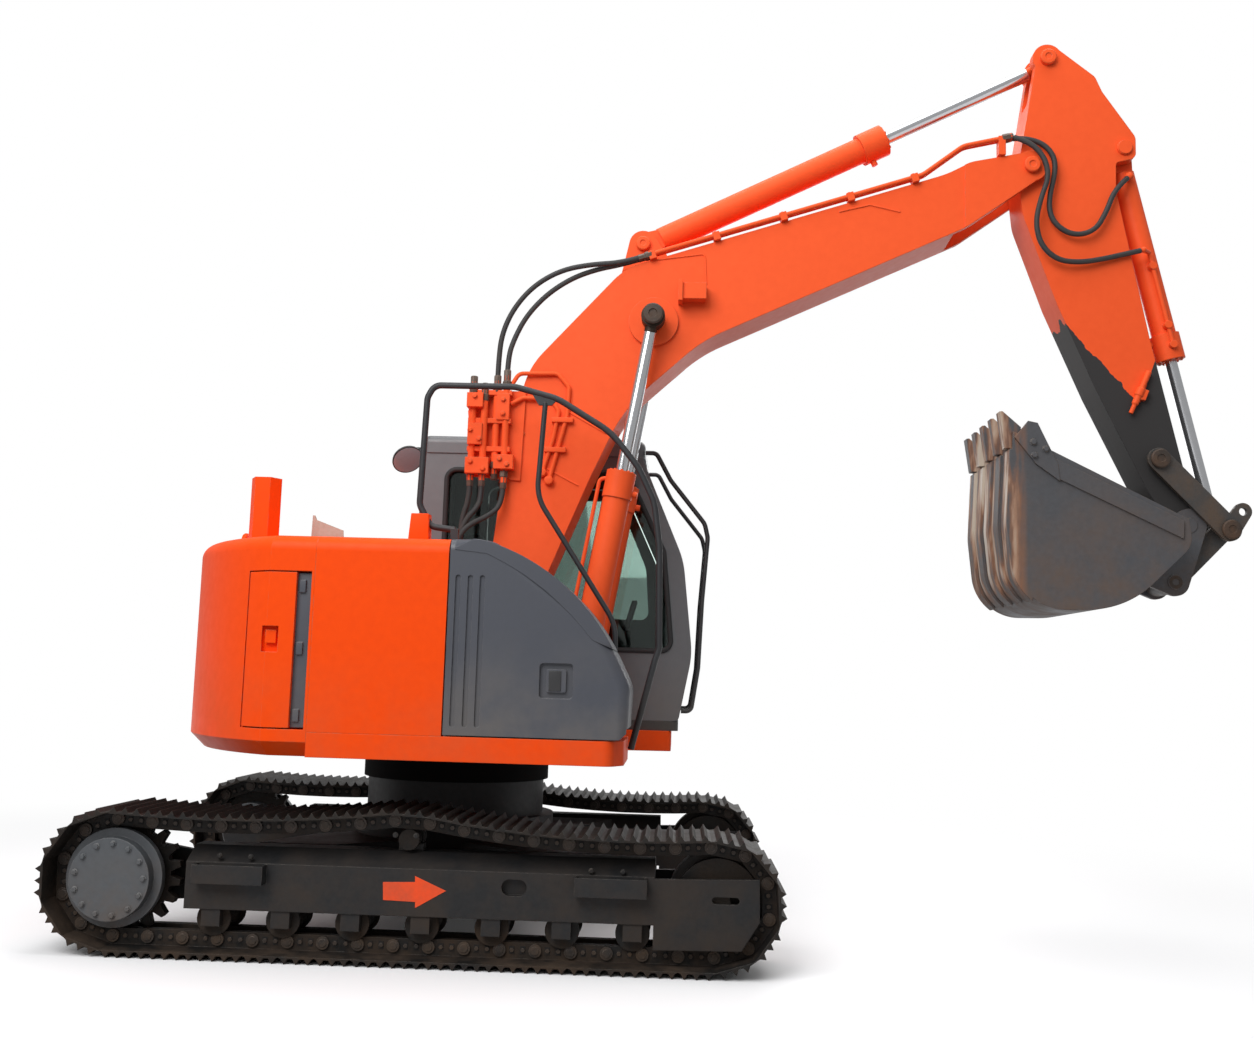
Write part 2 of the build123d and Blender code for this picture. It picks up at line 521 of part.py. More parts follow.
CAB_HINGE = (-66, CAB_LEFT_Y + HINGE_R + PIN_GAP)
HINGE_LENGTH = 90
HINGE_Z = (1290, 1850, 2430)
door_hole = plate(offset(door_side, COVER_GAP), CAB_LEFT_Y - CAB_WALL - 1, CAB_LEFT_Y + 1)
nodes["cab_shell"] = shell - right_window - front_window - rear_window - door_hole
floor_plan = outline(((-350, CAB_Y, 20), (1245, CAB_Y, 40), (1245, CAB_LEFT_Y, 40), (-350, CAB_LEFT_Y, 20)))
nodes["cab_floor"] = upright(floor_plan, DECK_Z, CAB_FLOOR_Z)
ROOF_X = (CAB_REAR_X - 10, 1010)
roof_plan = outline((
    (ROOF_X[0], CAB_Y - 8, 60), (ROOF_X[1], CAB_Y - 8, 90), (ROOF_X[1], CAB_LEFT_Y + 4, 90),
    (ROOF_X[0], CAB_LEFT_Y + 4, 60)))
roof = upright(roof_plan, CAB_TOP_Z, CAB_ROOF_Z)
nodes["cab_roof"] = fillet(roof.edges().group_by(Axis.Z)[-1], 45)
pane_out = offset(cab_side, -20, kind=Kind.INTERSECTION)
pane_in = offset(cab_side, -20 - GLASS, kind=Kind.INTERSECTION)
front_pane = plate(pane_out, CAB_Y + PILLAR, CAB_LEFT_Y - PILLAR) - plate(pane_in, CAB_Y, CAB_LEFT_Y)
front_pane = front_pane & front_window
right_pane = plate(window_side, CAB_Y + 20, CAB_Y + 20 + GLASS)
rear_pane = rear_window & block((-350 + 20, -350 + 20 + GLASS), (CAB_Y, CAB_LEFT_Y), (1600, 2700))
nodes["cab_glass"] = Compound([front_pane.solid(), right_pane.solid(), rear_pane.solid()])
DOOR_WALL = 45
door_window = outline(((20, 1760, 50), (20, 2550, 50), (815, 2550, 50), (1010, 2100, 250), (1035, 1760, 50)))
door_face = CAB_LEFT_Y + 4
cab_door = plate(door_side, door_face - DOOR_WALL, door_face)
cab_door = cab_door - plate(door_window, door_face - DOOR_WALL - 1, door_face + 1)
for z in HINGE_Z:
    cab_door = cab_door + upright(Pos(*CAB_HINGE) * Circle(HINGE_R), z, z + HINGE_LENGTH)
    leaf_x = (CAB_HINGE[0], CAB_HINGE[0] + HINGE_LENGTH)
    cab_door = cab_door + block(leaf_x, (CAB_HINGE[1] - 8, CAB_HINGE[1]), (z, z + HINGE_LENGTH))
    leaf_y = (door_face - FUSE, CAB_HINGE[1])
    cab_door = cab_door + block((DOOR_SIDE[0][0], leaf_x[1]), leaf_y, (z, z + HINGE_LENGTH))
nodes["cab_door"] = cab_door
nodes["door_glass"] = plate(door_window, door_face - 25 - GLASS, door_face - 25)
SEAT_Y = (CAB_Y + CAB_LEFT_Y) / 2
nodes["seat_base"] = block((60, 480), (SEAT_Y - 190, SEAT_Y + 190), (CAB_FLOOR_Z, 1420))
nodes["seat_cushion"] = block((20, 540), (SEAT_Y - 250, SEAT_Y + 250), (1420 + PIN_GAP, 1550))
back_side = outline(((-100, 1430, 30), (-230, 2250, 50), (-110, 2270, 50), (20 - PIN_GAP, 1560, 0),
                     (20 - PIN_GAP, 1430, 0)))
nodes["seat_back"] = plate(back_side, SEAT_Y - 240, SEAT_Y + 240)
consoles = []
for side in (-1, 1):
    console_y = sorted((SEAT_Y + side * 270, SEAT_Y + side * 370))
    consoles.append(block((40, 560), console_y, (CAB_FLOOR_Z, 1640)).solid())
nodes["consoles"] = Compound(consoles)

# Rails and mirror
RAIL_R = 17
RAIL_Y = -660
RIGHT_RAIL = ((40, 2125, 0), (-90, 2140, 60), (-155, 2255, 80), (-140, 2835, 70), (-105, 2903, 60),
              (330, 2903, 150),
              (560, 2843, 300), (850, 2667, 400), (1000, 2484, 300), (1090, 2300, 300), (1123, 2059, 300),
              (1134, 1527, 60), (1115, 1470, 60), (RIGHT_DECK_X + RAIL_R + PIN_GAP, 1010, 0))
points = [(x, RAIL_Y, z) for x, z, radius in RIGHT_RAIL]
rail = tube(points, [radius for x, z, radius in RIGHT_RAIL[1:-1]], RAIL_R)
rail = rail + block((20, 60), (RAIL_Y - 20, RAIL_Y + 20), (HOOD_Z, 2130))
gusset = Polygon((400, 2900), (570, 2850), (530, 2805), (460, 2805), align=None)
rail = rail + plate(gusset, RAIL_Y - 8, RAIL_Y + 8)
BRACE = ((495, 2820, 0), (468, 2312, 250), (905, 1650, 250), (905, DECK_Z + PIN_GAP, 0))
points = [(x, RAIL_Y, z) for x, z, radius in BRACE]
nodes["right_rail"] = rail + tube(points, [radius for x, z, radius in BRACE[1:-1]], 14)
CAB_RAIL = ((ROOF_X[1] + PIN_GAP, 2735, 0), (1075, 2735, 40), (1165, 2571, 100), (1377, 2310, 90),
            (1397, 2226, 120), (1370, 1842, 300),
            (1355, 1445, 200), (1318, 1190, 35), (1259.2, 1190, 0))
guards = []
for y in (CAB_Y + 45, CAB_LEFT_Y - 45):
    points = [(x, y, z) for x, z, radius in CAB_RAIL]
    guards.append(tube(points, [radius for x, z, radius in CAB_RAIL[1:-1]], 14).solid())
nodes["cab_rails"] = Compound(guards)
MIRROR = (-560, 1020, 2760)
mirror = Pos(*MIRROR) * Rot(0, 90, 0) * Cylinder(95, 40)
nodes["mirror"] = mirror + round_bar((MIRROR[0] + 10, MIRROR[1], MIRROR[2]), (-360 - PIN_GAP, 1020, 2760), 9)

# Boom: bent box with a foot boss, cylinder bosses, base lugs for the arm cylinder and a forked tip
BOOM_SIDE = ((145, 1690, 0), (226, 2430, 900), (345, 3095, 450), (880, 3690, 350), (2700, 4275, 600),
             (2830, 4345, 200), (3174, 4412, 0), (3215, 4252, 0), (2815, 3965, 400), (1330, 3275, 800),
             (900, 2880, 900), (720, 2480, 900),
             (400, 1690, 0))
boom_side = outline(BOOM_SIDE) + disc(BOOM_FOOT, 130) + disc(ARM_PIVOT, 90)
boom_half = BOOM_WIDTH / 2
boom = plate(boom_side, BOOM_Y - boom_half, BOOM_Y + boom_half)
FORK_X = 2740
boom = boom - block((FORK_X, 3400), (BOOM_Y - FORK_GAP / 2, BOOM_Y + FORK_GAP / 2), (3500, 4800))
boom = boom - cross_pin(BOOM_FOOT, BIG_PIN_R + PIN_GAP, BOOM_Y - boom_half - 1, BOOM_Y + boom_half + 1)
RAM_BOSS = 18             # raised ring where each boom cylinder is pinned
ARM_RAM_EYE_HALF = 55
lug_foot = Polygon((840, 3600), (1180, 3700), (1180, 3701), align=None)
ram_base_lug = make_hull(disc(ARM_RAM_BASE, 80).edges() + lug_foot.edges())
for side in (-1, 1):
    boss = sorted((BOOM_Y + side * (boom_half - FUSE), BOOM_Y + side * (boom_half + RAM_BOSS)))
    boom = boom + cross_pin(BOOM_RAM_EYE, 140, *boss)
    lug_y = sorted((BOOM_Y + side * (ARM_RAM_EYE_HALF + SIDE_GAP), BOOM_Y + side * (ARM_RAM_EYE_HALF + 35)))
    boom = boom + plate(ram_base_lug, *lug_y)
lug_reach = ARM_RAM_EYE_HALF + 50
boom = boom + cross_pin(ARM_RAM_BASE, BIG_PIN_R, BOOM_Y - lug_reach, BOOM_Y + lug_reach)
TIP_PLATE = 8             # doubling plates on the tip's two sides
tip_zone = boom_side & (Pos(2800, 4200) * Rectangle(600, 900, align=(Align.MIN, Align.CENTER)))
for side in (-1, 1):
    tip_y = sorted((BOOM_Y + side * (boom_half - FUSE), BOOM_Y + side * (boom_half + TIP_PLATE)))
    boom = boom + plate(tip_zone, *tip_y)
tip_reach = boom_half + 25
nodes["boom"] = boom + cross_pin(ARM_PIVOT, BIG_PIN_R, BOOM_Y - tip_reach, BOOM_Y + tip_reach)


NECK = 115                # base pin to the barrel's end cap
PORT_R = 18               # oil port on a gland
PORT_REACH = 26


# Cylinders: barrel with a base eye and a gland, and a rod with an eye and its pin
def make_barrel(base, eye, y_mid, gland_at, barrel_r, gland_r, eye_r, eye_half, bore_r):
    """Barrel from its base eye to its gland, bored for the rod."""
    start = between(base, eye, NECK)
    neck_end = between(base, eye, NECK + 30)
    gland = between(base, eye, gland_at - 150)
    end = between(base, eye, gland_at)
    barrel = round_bar((start[0], y_mid, start[1]), (end[0], y_mid, end[1]), barrel_r)
    barrel = barrel + round_bar((gland[0], y_mid, gland[1]), (end[0], y_mid, end[1]), gland_r)
    neck = link_shape(base, eye_r, neck_end, eye_r * 0.6)
    barrel = barrel + plate(neck, y_mid - eye_half, y_mid + eye_half)
    bottom = between(base, eye, NECK + 100)
    past = between(base, eye, gland_at + 1)
    barrel = barrel - round_bar((bottom[0], y_mid, bottom[1]), (past[0], y_mid, past[1]), bore_r)
    port = between(base, eye, gland_at - 110)
    away = Vector(end[0] - base[0], 0, end[1] - base[1]).normalized().cross(Vector(0, 1, 0))
    foot = Vector(port[0], y_mid, port[1]) - away * (bore_r + 10)
    barrel = barrel + round_bar(foot, foot - away * (gland_r + PORT_REACH - bore_r - 10), PORT_R)
    return barrel - cross_pin(base, BIG_PIN_R + PIN_GAP, y_mid - eye_half - 1, y_mid + eye_half + 1)


def make_rod(base, eye, y_mid, inside, rod_r, eye_r, eye_half):
    """Rod with its eye; its inner end reaches a distance from the base pin."""
    start = between(base, eye, inside)
    end = between(base, eye, hypot(eye[0] - base[0], eye[1] - base[1]) - eye_r * 0.6)
    rod = round_bar((start[0], y_mid, start[1]), (end[0], y_mid, end[1]), rod_r)
    return rod + cross_pin(eye, eye_r, y_mid - eye_half, y_mid + eye_half)


BOOM_ROD_R = 35
ARM_ROD_R = 37
BUCKET_ROD_R = 33
ROD_GAP = 0.3
barrels = []
rods = []
for side in (-1, 1):
    ram_y = BOOM_Y + side * BOOM_RAM_Y
    barrel = make_barrel(BOOM_RAM_BASE, BOOM_RAM_EYE, ram_y, 1255, 74, 82, 72, EYE_HALF, BOOM_ROD_R + ROD_GAP)
    barrels.append(barrel.solid())
    rod = make_rod(BOOM_RAM_BASE, BOOM_RAM_EYE, ram_y, 1090, BOOM_ROD_R, 66, EYE_HALF)
    pin_from = boom_half + RAM_BOSS + SIDE_GAP
    pin = sorted((BOOM_Y + side * pin_from, BOOM_Y + side * (BOOM_RAM_Y + EYE_HALF + 20)))
    rods.append((rod + cross_pin(BOOM_RAM_EYE, BIG_PIN_R, *pin)).solid())
nodes["boom_barrels"] = Compound(barrels)
nodes["boom_rods"] = Compound(rods)
nodes["arm_barrel"] = make_barrel(
    ARM_RAM_BASE, ARM_RAM_EYE, BOOM_Y, 1545, 75, 92, 78, ARM_RAM_EYE_HALF, ARM_ROD_R + ROD_GAP)
nodes["arm_rod"] = make_rod(ARM_RAM_BASE, ARM_RAM_EYE, BOOM_Y, 1150, ARM_ROD_R, 70, 50)
BUCKET_EYE_HALF = 48
BUCKET_BARREL_R = 67
BUCKET_GLAND_R = 82
bucket_barrel = make_barrel(BUCKET_RAM_BASE, LINK_PIN, BOOM_Y, 1240, BUCKET_BARREL_R, BUCKET_GLAND_R, 66,
                            BUCKET_EYE_HALF, BUCKET_ROD_R + ROD_GAP)
OIL_PIPE_R = 12
pipe_y = BOOM_Y - BUCKET_GLAND_R - 10
pipe_low = between(BUCKET_RAM_BASE, LINK_PIN, 1180)
pipe_top = between(BUCKET_RAM_BASE, LINK_PIN, 620)
oil_pipe = round_bar((pipe_low[0], pipe_y, pipe_low[1]), (pipe_top[0], pipe_y, pipe_top[1]), OIL_PIPE_R)
PIPE_END = (3800, -262, 3852)
oil_pipe = oil_pipe + round_bar((pipe_top[0], pipe_y, pipe_top[1]), PIPE_END, OIL_PIPE_R)
oil_pipe = oil_pipe + Pos(pipe_top[0], pipe_y, pipe_top[1]) * Sphere(OIL_PIPE_R) + Pos(*PIPE_END) * Sphere(17)
bucket_barrel = bucket_barrel + oil_pipe
for at in (700, 1050, 1165):
    clip = between(BUCKET_RAM_BASE, LINK_PIN, at)
    clip_y = (pipe_y - OIL_PIPE_R - 4, BOOM_Y - BUCKET_ROD_R - 12)
    bucket_barrel = bucket_barrel + cross_pin(clip, 22, *clip_y)
HOSE_PORT = between(BUCKET_RAM_BASE, LINK_PIN, 160)
port_y = (BOOM_Y - BUCKET_GLAND_R - 14, BOOM_Y - BUCKET_ROD_R - 12)
port = cross_pin(HOSE_PORT, 22, *port_y) + Pos(HOSE_PORT[0], port_y[0], HOSE_PORT[1]) * Sphere(24)
nodes["bucket_barrel"] = bucket_barrel + port
nodes["bucket_rod"] = make_rod(BUCKET_RAM_BASE, LINK_PIN, BOOM_Y, 1060, BUCKET_ROD_R, 60, 44)

# Arm: tapered box with slots for the two cylinder eyes and a boss at the bucket
ARM_SIDE = ((3215, 4960, 0), (3330, 5060, 0), (3551, 4885, 60), (3590, 4795, 100), (3775, 4525, 60),
            (3775, 4400, 40), (3662, 4372, 20), (3660, 4205, 150), (3835, 3330, 0), (4020, 2530, 60),
            (4105, 2310, 0), (3930, 2270, 0), (3795, 2500, 200),
            (3530, 3046, 500), (3310, 3559, 0), (3135, 4050, 300), (3108, 4330, 150), (3160, 4620, 200))
arm_side = outline(ARM_SIDE) + disc(ARM_RAM_EYE, 84) + disc(ARM_PIVOT, 92) + disc(BUCKET_PIVOT, 92)
arm_half = ARM_WIDTH / 2
arm = plate(arm_side, BOOM_Y - arm_half, BOOM_Y + arm_half)
arm = arm - block((3000, 3700), (BOOM_Y - 62, BOOM_Y + 62), (4740, 5300))
arm = arm - block((3600, 3900), (BOOM_Y - 56, BOOM_Y + 56), (4300, 4640))
collar = FORK_GAP / 2 - SIDE_GAP
arm = arm + cross_pin(ARM_PIVOT, 85, BOOM_Y - collar, BOOM_Y + collar)
arm = arm - cross_pin(ARM_PIVOT, BIG_PIN_R + PIN_GAP, BOOM_Y - 200, BOOM_Y + 200)
arm = arm - cross_pin(BUCKET_PIVOT, BIG_PIN_R + PIN_GAP, BOOM_Y - 200, BOOM_Y + 200)
arm = arm + cross_pin(BUCKET_RAM_BASE, BIG_PIN_R, BOOM_Y - arm_half - 18, BOOM_Y + arm_half + 18)
EAR_IN = arm_half + 3     # bucket ears outside the arm
EAR = 32
GUIDE_IN = EAR_IN + EAR + 6
GUIDE = 28
guide_reach = GUIDE_IN + GUIDE + 14
arm = arm + cross_pin(GUIDE_PIVOT, LINK_PIN_R, BOOM_Y - guide_reach, BOOM_Y + guide_reach)
for side in (-1, 1):
    head = sorted((BOOM_Y + side * (arm_half - FUSE), BOOM_Y + side * (arm_half + 18)))
    arm = arm + cross_pin(ARM_RAM_EYE, 45, *head)
nodes["arm"] = arm

# Bucket linkage: two guide links, and one push link forked round the rod's eye
FORK_IN = 48
FORK = 42
LIFT_EYE = (4290, 2370)   # ear for a lifting hook on the right guide link
LIFT_EYE_R = 22
guides = []
for side in (-1, 1):
    y = sorted((BOOM_Y + side * GUIDE_IN, BOOM_Y + side * (GUIDE_IN + GUIDE)))
    guide = plate(link_shape(GUIDE_PIVOT, 62, LINK_PIN, 62), *y)
    guide = guide - cross_pin(GUIDE_PIVOT, LINK_PIN_R + PIN_GAP, y[0] - 1, y[1] + 1)
    stub = sorted((BOOM_Y + side * FORK_IN, BOOM_Y + side * (GUIDE_IN + GUIDE + 14)))
    if side < 0:
        guide = guide + plate(link_shape(LINK_PIN, 55, LIFT_EYE, 48), *y)
        guide = guide - cross_pin(LIFT_EYE, LIFT_EYE_R, y[0] - 1, y[1] + 1)
    guides.append((guide + cross_pin(LINK_PIN, LINK_PIN_R, *stub)).solid())
nodes["guide_links"] = Compound(guides)
push = plate(link_shape(LINK_PIN, 55, BUCKET_LINK_PIN, 60), BOOM_Y - FORK_IN - FORK, BOOM_Y + FORK_IN + FORK)
slot_end = between(BUCKET_LINK_PIN, LINK_PIN, 130)
slot_line = Vector(LINK_PIN[0] - slot_end[0], LINK_PIN[1] - slot_end[1]).normalized()
slot_plane = Plane(origin=(*slot_end, 0), x_dir=(slot_line.X, slot_line.Y, 0), z_dir=(0, 0, 1))
slot = slot_plane * Rectangle(400, 180, align=(Align.MIN, Align.CENTER))
push = push - plate(slot, BOOM_Y - FORK_IN, BOOM_Y + FORK_IN)
push = push + cross_pin(BUCKET_LINK_PIN, 60, BOOM_Y - EAR_IN + 2, BOOM_Y + EAR_IN - 2)
nodes["push_link"] = push - cross_pin(LINK_PIN, LINK_PIN_R + PIN_GAP, BOOM_Y - 200, BOOM_Y + 200)

# Bucket: bent shell between two side plates, ears for the two pins, teeth and side cutters
CUTTING_LIP = (2985, 2735)
REAR_LIP = (3893, 2287)
BUCKET_OUT = ((*CUTTING_LIP, 0), (2962, 2250, 350), (3010, 1790, 260), (3560, 1800, 500), (3915, 2150, 120),
              (*REAR_LIP, 0))
bucket_half = BUCKET_WIDTH / 2
BUCKET_WALL = 24
shell_out = outline(BUCKET_OUT)
hollow = offset(shell_out, -BUCKET_WALL, kind=Kind.INTERSECTION)
bucket = plate(shell_out, BOOM_Y - bucket_half, BOOM_Y + bucket_half)
bucket = bucket - plate(hollow, BOOM_Y - bucket_half + BUCKET_WALL, BOOM_Y + bucket_half - BUCKET_WALL)
mouth_x = (CUTTING_LIP[0] + BUCKET_WALL, REAR_LIP[0] - BUCKET_WALL)
mouth = Polygon((mouth_x[0], 2900), (mouth_x[0], 2560), (mouth_x[1], REAR_LIP[1] - 38), (mouth_x[1], 2900),
                align=None)
bucket = bucket - plate(mouth, BOOM_Y - bucket_half + BUCKET_WALL, BOOM_Y + bucket_half - BUCKET_WALL)
cutter_side = Polygon(
    (2990, 2700), (3060, 2790), (3110, 2780), (3215, 2560), (3225, 2470), (3100, 2560), align=None)
bucket_ear = make_hull(disc(BUCKET_PIVOT, 92).edges() + disc(BUCKET_LINK_PIN, 75).edges() + Polygon(
    (3700, 1990), (3880, 2290), (3881, 2290), align=None).edges())
for side in (-1, 1):
    y = sorted((BOOM_Y + side * EAR_IN, BOOM_Y + side * (EAR_IN + EAR)))
    bucket = bucket + plate(bucket_ear, *y)
    y = sorted((BOOM_Y + side * (bucket_half - 6), BOOM_Y + side * (bucket_half + 16)))
    bucket = bucket + plate(cutter_side, *y)
    y = sorted((BOOM_Y + side * (EAR_IN + EAR - FUSE), BOOM_Y + side * (EAR_IN + EAR + 5)))
    bucket = bucket + cross_pin(BUCKET_LINK_PIN, 42, *y)
STRIPS = 5                # wear strips under the floor
STRIP = 14
STRIP_WIDTH = 120
strip_zone = Pos(3080, 2640) * Rectangle(400, 900, align=(Align.MAX, Align.MAX))
strip_side = (offset(shell_out, STRIP) - offset(shell_out, -FUSE)) & strip_zone
for k in range(STRIPS):
    y = BOOM_Y + (k - (STRIPS - 1) / 2) * (BUCKET_WIDTH - STRIP_WIDTH) / (STRIPS - 1)
    bucket = bucket + plate(strip_side, y - STRIP_WIDTH / 2, y + STRIP_WIDTH / 2)
rim_bar = Polygon((3205, 2590), (3225, 2480), (3862, 2180), (3866, 2275), align=None)
for side in (-1, 1):
    y = sorted((BOOM_Y + side * (bucket_half - FUSE), BOOM_Y + side * (bucket_half + 12)))
    bucket = bucket + plate(rim_bar, *y)
ear_reach = EAR_IN + EAR + 5
bucket = bucket + cross_pin(BUCKET_PIVOT, BIG_PIN_R, BOOM_Y - ear_reach, BOOM_Y + ear_reach)
nodes["bucket"] = bucket
TEETH = 5
TOOTH_WIDTH = 74
TOOTH_PITCH = 200
tooth_side = Polygon((2950, 2650), (2921, 2848), (2937, 2850), (3034, 2765), (3034, 2650), align=None)
lip = offset(shell_out, PIN_GAP) - offset(hollow, -PIN_GAP) - offset(mouth, -PIN_GAP)
tooth_side = tooth_side - lip
teeth = []
for k in range(TEETH):
    y = BOOM_Y + (k - (TEETH - 1) / 2) * TOOTH_PITCH
    teeth.append(plate(tooth_side, y - TOOTH_WIDTH / 2, y + TOOTH_WIDTH / 2).solid())
nodes["bucket_teeth"] = Compound(teeth)

# Oil pipes along the boom's right edge, on clamps, and a work lamp on the boom's right side
PIPE_R = 13
PIPE_ROW_Y = (BOOM_Y - boom_half + 18, BOOM_Y - boom_half - 14)
PIPE = ((985, 3757, 0), (2560, 4263, 120), (2788, 4436, 120), (3055, 4496, 0))
pipes = []
for y in PIPE_ROW_Y:
    points = [(x, y, z) for x, z, radius in PIPE]
    pipes.append(tube(points, [radius for x, z, radius in PIPE[1:-1]], PIPE_R))
pipe_set = pipes[0]
top_way = Vector(PIPE[1][0] - PIPE[0][0], 0, PIPE[1][1] - PIPE[0][1]).normalized()
CLAMP = (40, 62, 48)      # length along the pipes, width and height of a clamp
CLAMP_DROP = 7            # middle of a clamp below the pipes' middle
for share in (0.03, 0.26, 0.5, 0.74, 0.97):
    x = PIPE[0][0] + (PIPE[1][0] - PIPE[0][0]) * share
    z = PIPE[0][1] + (PIPE[1][1] - PIPE[0][1]) * share
    seat = Plane(origin=(x, sum(PIPE_ROW_Y) / 2, z), x_dir=top_way, z_dir=top_way.cross(Vector(0, 1, 0)))
    pipe_set = pipe_set + seat * Pos(0, 0, -CLAMP_DROP) * Box(*CLAMP)
post_y = (PIPE_ROW_Y[1] - PIPE_R, PIPE_ROW_Y[0] + PIPE_R)
pipe_set = pipe_set + block((2985, 3025), post_y, (4384, 4495))
pipe_set = pipe_set + pipes[1]
END_R = 18                # round end fitting where a hose starts
for y in PIPE_ROW_Y:
    pipe_set = pipe_set + Pos(PIPE[-1][0], y, PIPE[-1][1]) * Sphere(END_R)
nodes["boom_pipes"] = pipe_set
LAMP_Y = BOOM_Y - boom_half - PIN_GAP
lamp_box = block((1200, 1345), (LAMP_Y - 90, LAMP_Y), (3494, 3586))
lamp_box = lamp_box + block((1188, 1212), (LAMP_Y - 105, LAMP_Y), (3480, 3600))
nodes["boom_lamp"] = lamp_box - block((1240, 1346), (LAMP_Y - 80, LAMP_Y - 10), (3504, 3576))

# Hose manifold on the boom's right side near its foot: bracket plate, valve bodies and stub pipes
bracket_side = Polygon((345, 2960), (60, 2960), (20, 2840), (60, 2470), (330, 2450), align=None)
manifold = plate(bracket_side, LAMP_Y - 14, LAMP_Y)
# valve rows: x, z, width, height, depth
for x, z, width, height, depth in ((70, 2890, 90, 80, 90), (75, 2700, 80, 120, 80), (95, 2520, 130, 90, 95),
                                   (240, 2545, 110, 80, 80), (225, 2860, 70, 150, 60)):
    valve_y = (LAMP_Y - 12 - depth, LAMP_Y - 12)
    manifold = manifold + block((x - width / 2, x + width / 2), valve_y, (z - height / 2, z + height / 2))
STUB_R = 19
# stub pipe rows: x, distance from the boom's side, lower end, upper end
for x, out, low, high in ((55, 55, 2440, 3000), (120, 60, 2440, 2960), (185, 40, 2480, 3010),
                          (240, 50, 2430, 3040)):
    manifold = manifold + round_bar((x, LAMP_Y - out, low), (x, LAMP_Y - out, high), STUB_R)
for z in (2620, 2780, 2940):
    manifold = manifold + block((30, 270), (LAMP_Y - 62, LAMP_Y - 12), (z - 14, z + 14))
nodes["boom_manifold"] = manifold


# Free hoses: hood to manifold, manifold to the boom's pipes, and pipes to the arm
def hose(points, radius):
    """Hose whose arcs are as large as its runs allow."""
    radii = []
    for before, at, after in zip(points, points[1:], points[2:]):
        first = Vector(*at) - Vector(*before)
        second = Vector(*after) - Vector(*at)
        run = min(first.length, second.length)
        radii.append(0.45 * run / tan(radians(first.get_angle(second)) / 2))
    print("hose bends", [round(bend) for bend in radii])
    return tube(points, radii, radius)


HOSE_R = 15
# route rows: x, y, z
ARM_HOSES = (
    ((3073.3, -262, 4497), (3160, -262, 4502), (3268, -278, 4448), (3318, -284, 4335), (3262, -286, 4112),
     (3290, -286, 3992), (3398, -286, 3919), (3523, -285, 3948), (3590, -284, 4064), (3640, -280, 4200),
     (3731.5, -216.8, 4288.9)),
    ((3072, -297.2, 4489.9), (3150, -312, 4462), (3232, -322, 4376), (3262, -322, 4255), (3215, -318, 4125),
     (3185, -312, 3985), (3215, -306, 3855), (3310, -296, 3772), (3440, -282, 3766), (3560, -270, 3790),
     (3675, -263, 3820), (3783.3, -262.2, 3847.6)))
nodes["arm_hoses"] = Compound([hose(route, HOSE_R).solid() for route in ARM_HOSES])
BOOM_HOSES = (
    ((240, -330.3, 3040.3), (240, -330.3, 3150), (268, -308, 3262), (330, -290, 3400), (440, -280, 3530),
     (580, -272, 3630), (725, -264, 3688), (862, -262, 3717.4), (984.5, -262, 3756.8)),
    ((185, -320.3, 3010.3), (185, -320.3, 3140), (200, -325, 3290), (262, -318, 3440), (372, -310, 3575),
     (525, -304, 3668), (700, -298, 3705), (862, -294, 3717.4), (984.5, -294, 3756.8)))
nodes["boom_hoses"] = Compound([hose(route, HOSE_R).solid() for route in BOOM_HOSES])
FOOT_HOSES = (
    ((14, -440, 2020.3), (14, -440, 2110), (80, -415, 2190), (165, -370, 2235), (240, -330.3, 2310),
     (240, -330.3, 2429.7)),
    ((14, -390, 2020.3), (14, -390, 2120), (52, -385, 2220), (104, -362, 2285), (120, -340.3, 2340),
     (120, -340.3, 2439.7)),
    ((14, -335.3, 2020.3), (14, -335.3, 2140), (24, -335.3, 2240), (55, -335.3, 2340), (55, -335.3, 2439.7)))
nodes["foot_hoses"] = Compound([hose(route, HOSE_R).solid() for route in FOOT_HOSES])

os.makedirs("parts", exist_ok=True)
for name, piece in nodes.items():
    export_step(piece, "parts/" + name + ".step")
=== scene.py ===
from math import atan2, cos, hypot, pi, radians, sin
import bmesh
import bpy
from mathutils import Matrix, Vector


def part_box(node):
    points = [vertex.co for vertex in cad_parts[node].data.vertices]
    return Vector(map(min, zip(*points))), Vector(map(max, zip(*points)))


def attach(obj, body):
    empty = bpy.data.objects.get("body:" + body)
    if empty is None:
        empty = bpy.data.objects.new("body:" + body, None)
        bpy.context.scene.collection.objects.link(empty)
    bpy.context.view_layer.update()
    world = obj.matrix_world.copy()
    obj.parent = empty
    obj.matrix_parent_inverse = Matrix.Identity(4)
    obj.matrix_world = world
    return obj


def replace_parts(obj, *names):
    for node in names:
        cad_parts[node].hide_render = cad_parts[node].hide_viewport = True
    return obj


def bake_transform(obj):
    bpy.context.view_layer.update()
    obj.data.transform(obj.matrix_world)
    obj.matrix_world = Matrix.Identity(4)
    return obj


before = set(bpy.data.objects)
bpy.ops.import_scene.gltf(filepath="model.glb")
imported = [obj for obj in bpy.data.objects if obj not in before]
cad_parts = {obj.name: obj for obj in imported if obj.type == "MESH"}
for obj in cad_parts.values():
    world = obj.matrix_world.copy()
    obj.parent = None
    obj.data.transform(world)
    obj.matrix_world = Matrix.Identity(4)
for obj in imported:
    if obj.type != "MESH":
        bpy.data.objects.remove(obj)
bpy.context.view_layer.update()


# Studio: a pale floor that fades into a white backdrop, two large soft lamps above the machine's right side
# and a weak lamp on its left. The camera stands where the photographer stood, low and close to the machine.
def node(tree, kind, values=(), **settings):
    """New node with its settings and the values of its inputs; a short kind is of the tree's own family."""
    made = tree.nodes.new(kind if "Node" in kind else tree.bl_idname.removesuffix("Tree") + kind)
    for name, value in settings.items():
        setattr(made, name, value)
    for socket, value in dict(values).items():
        made.inputs[socket].default_value = value
    return made


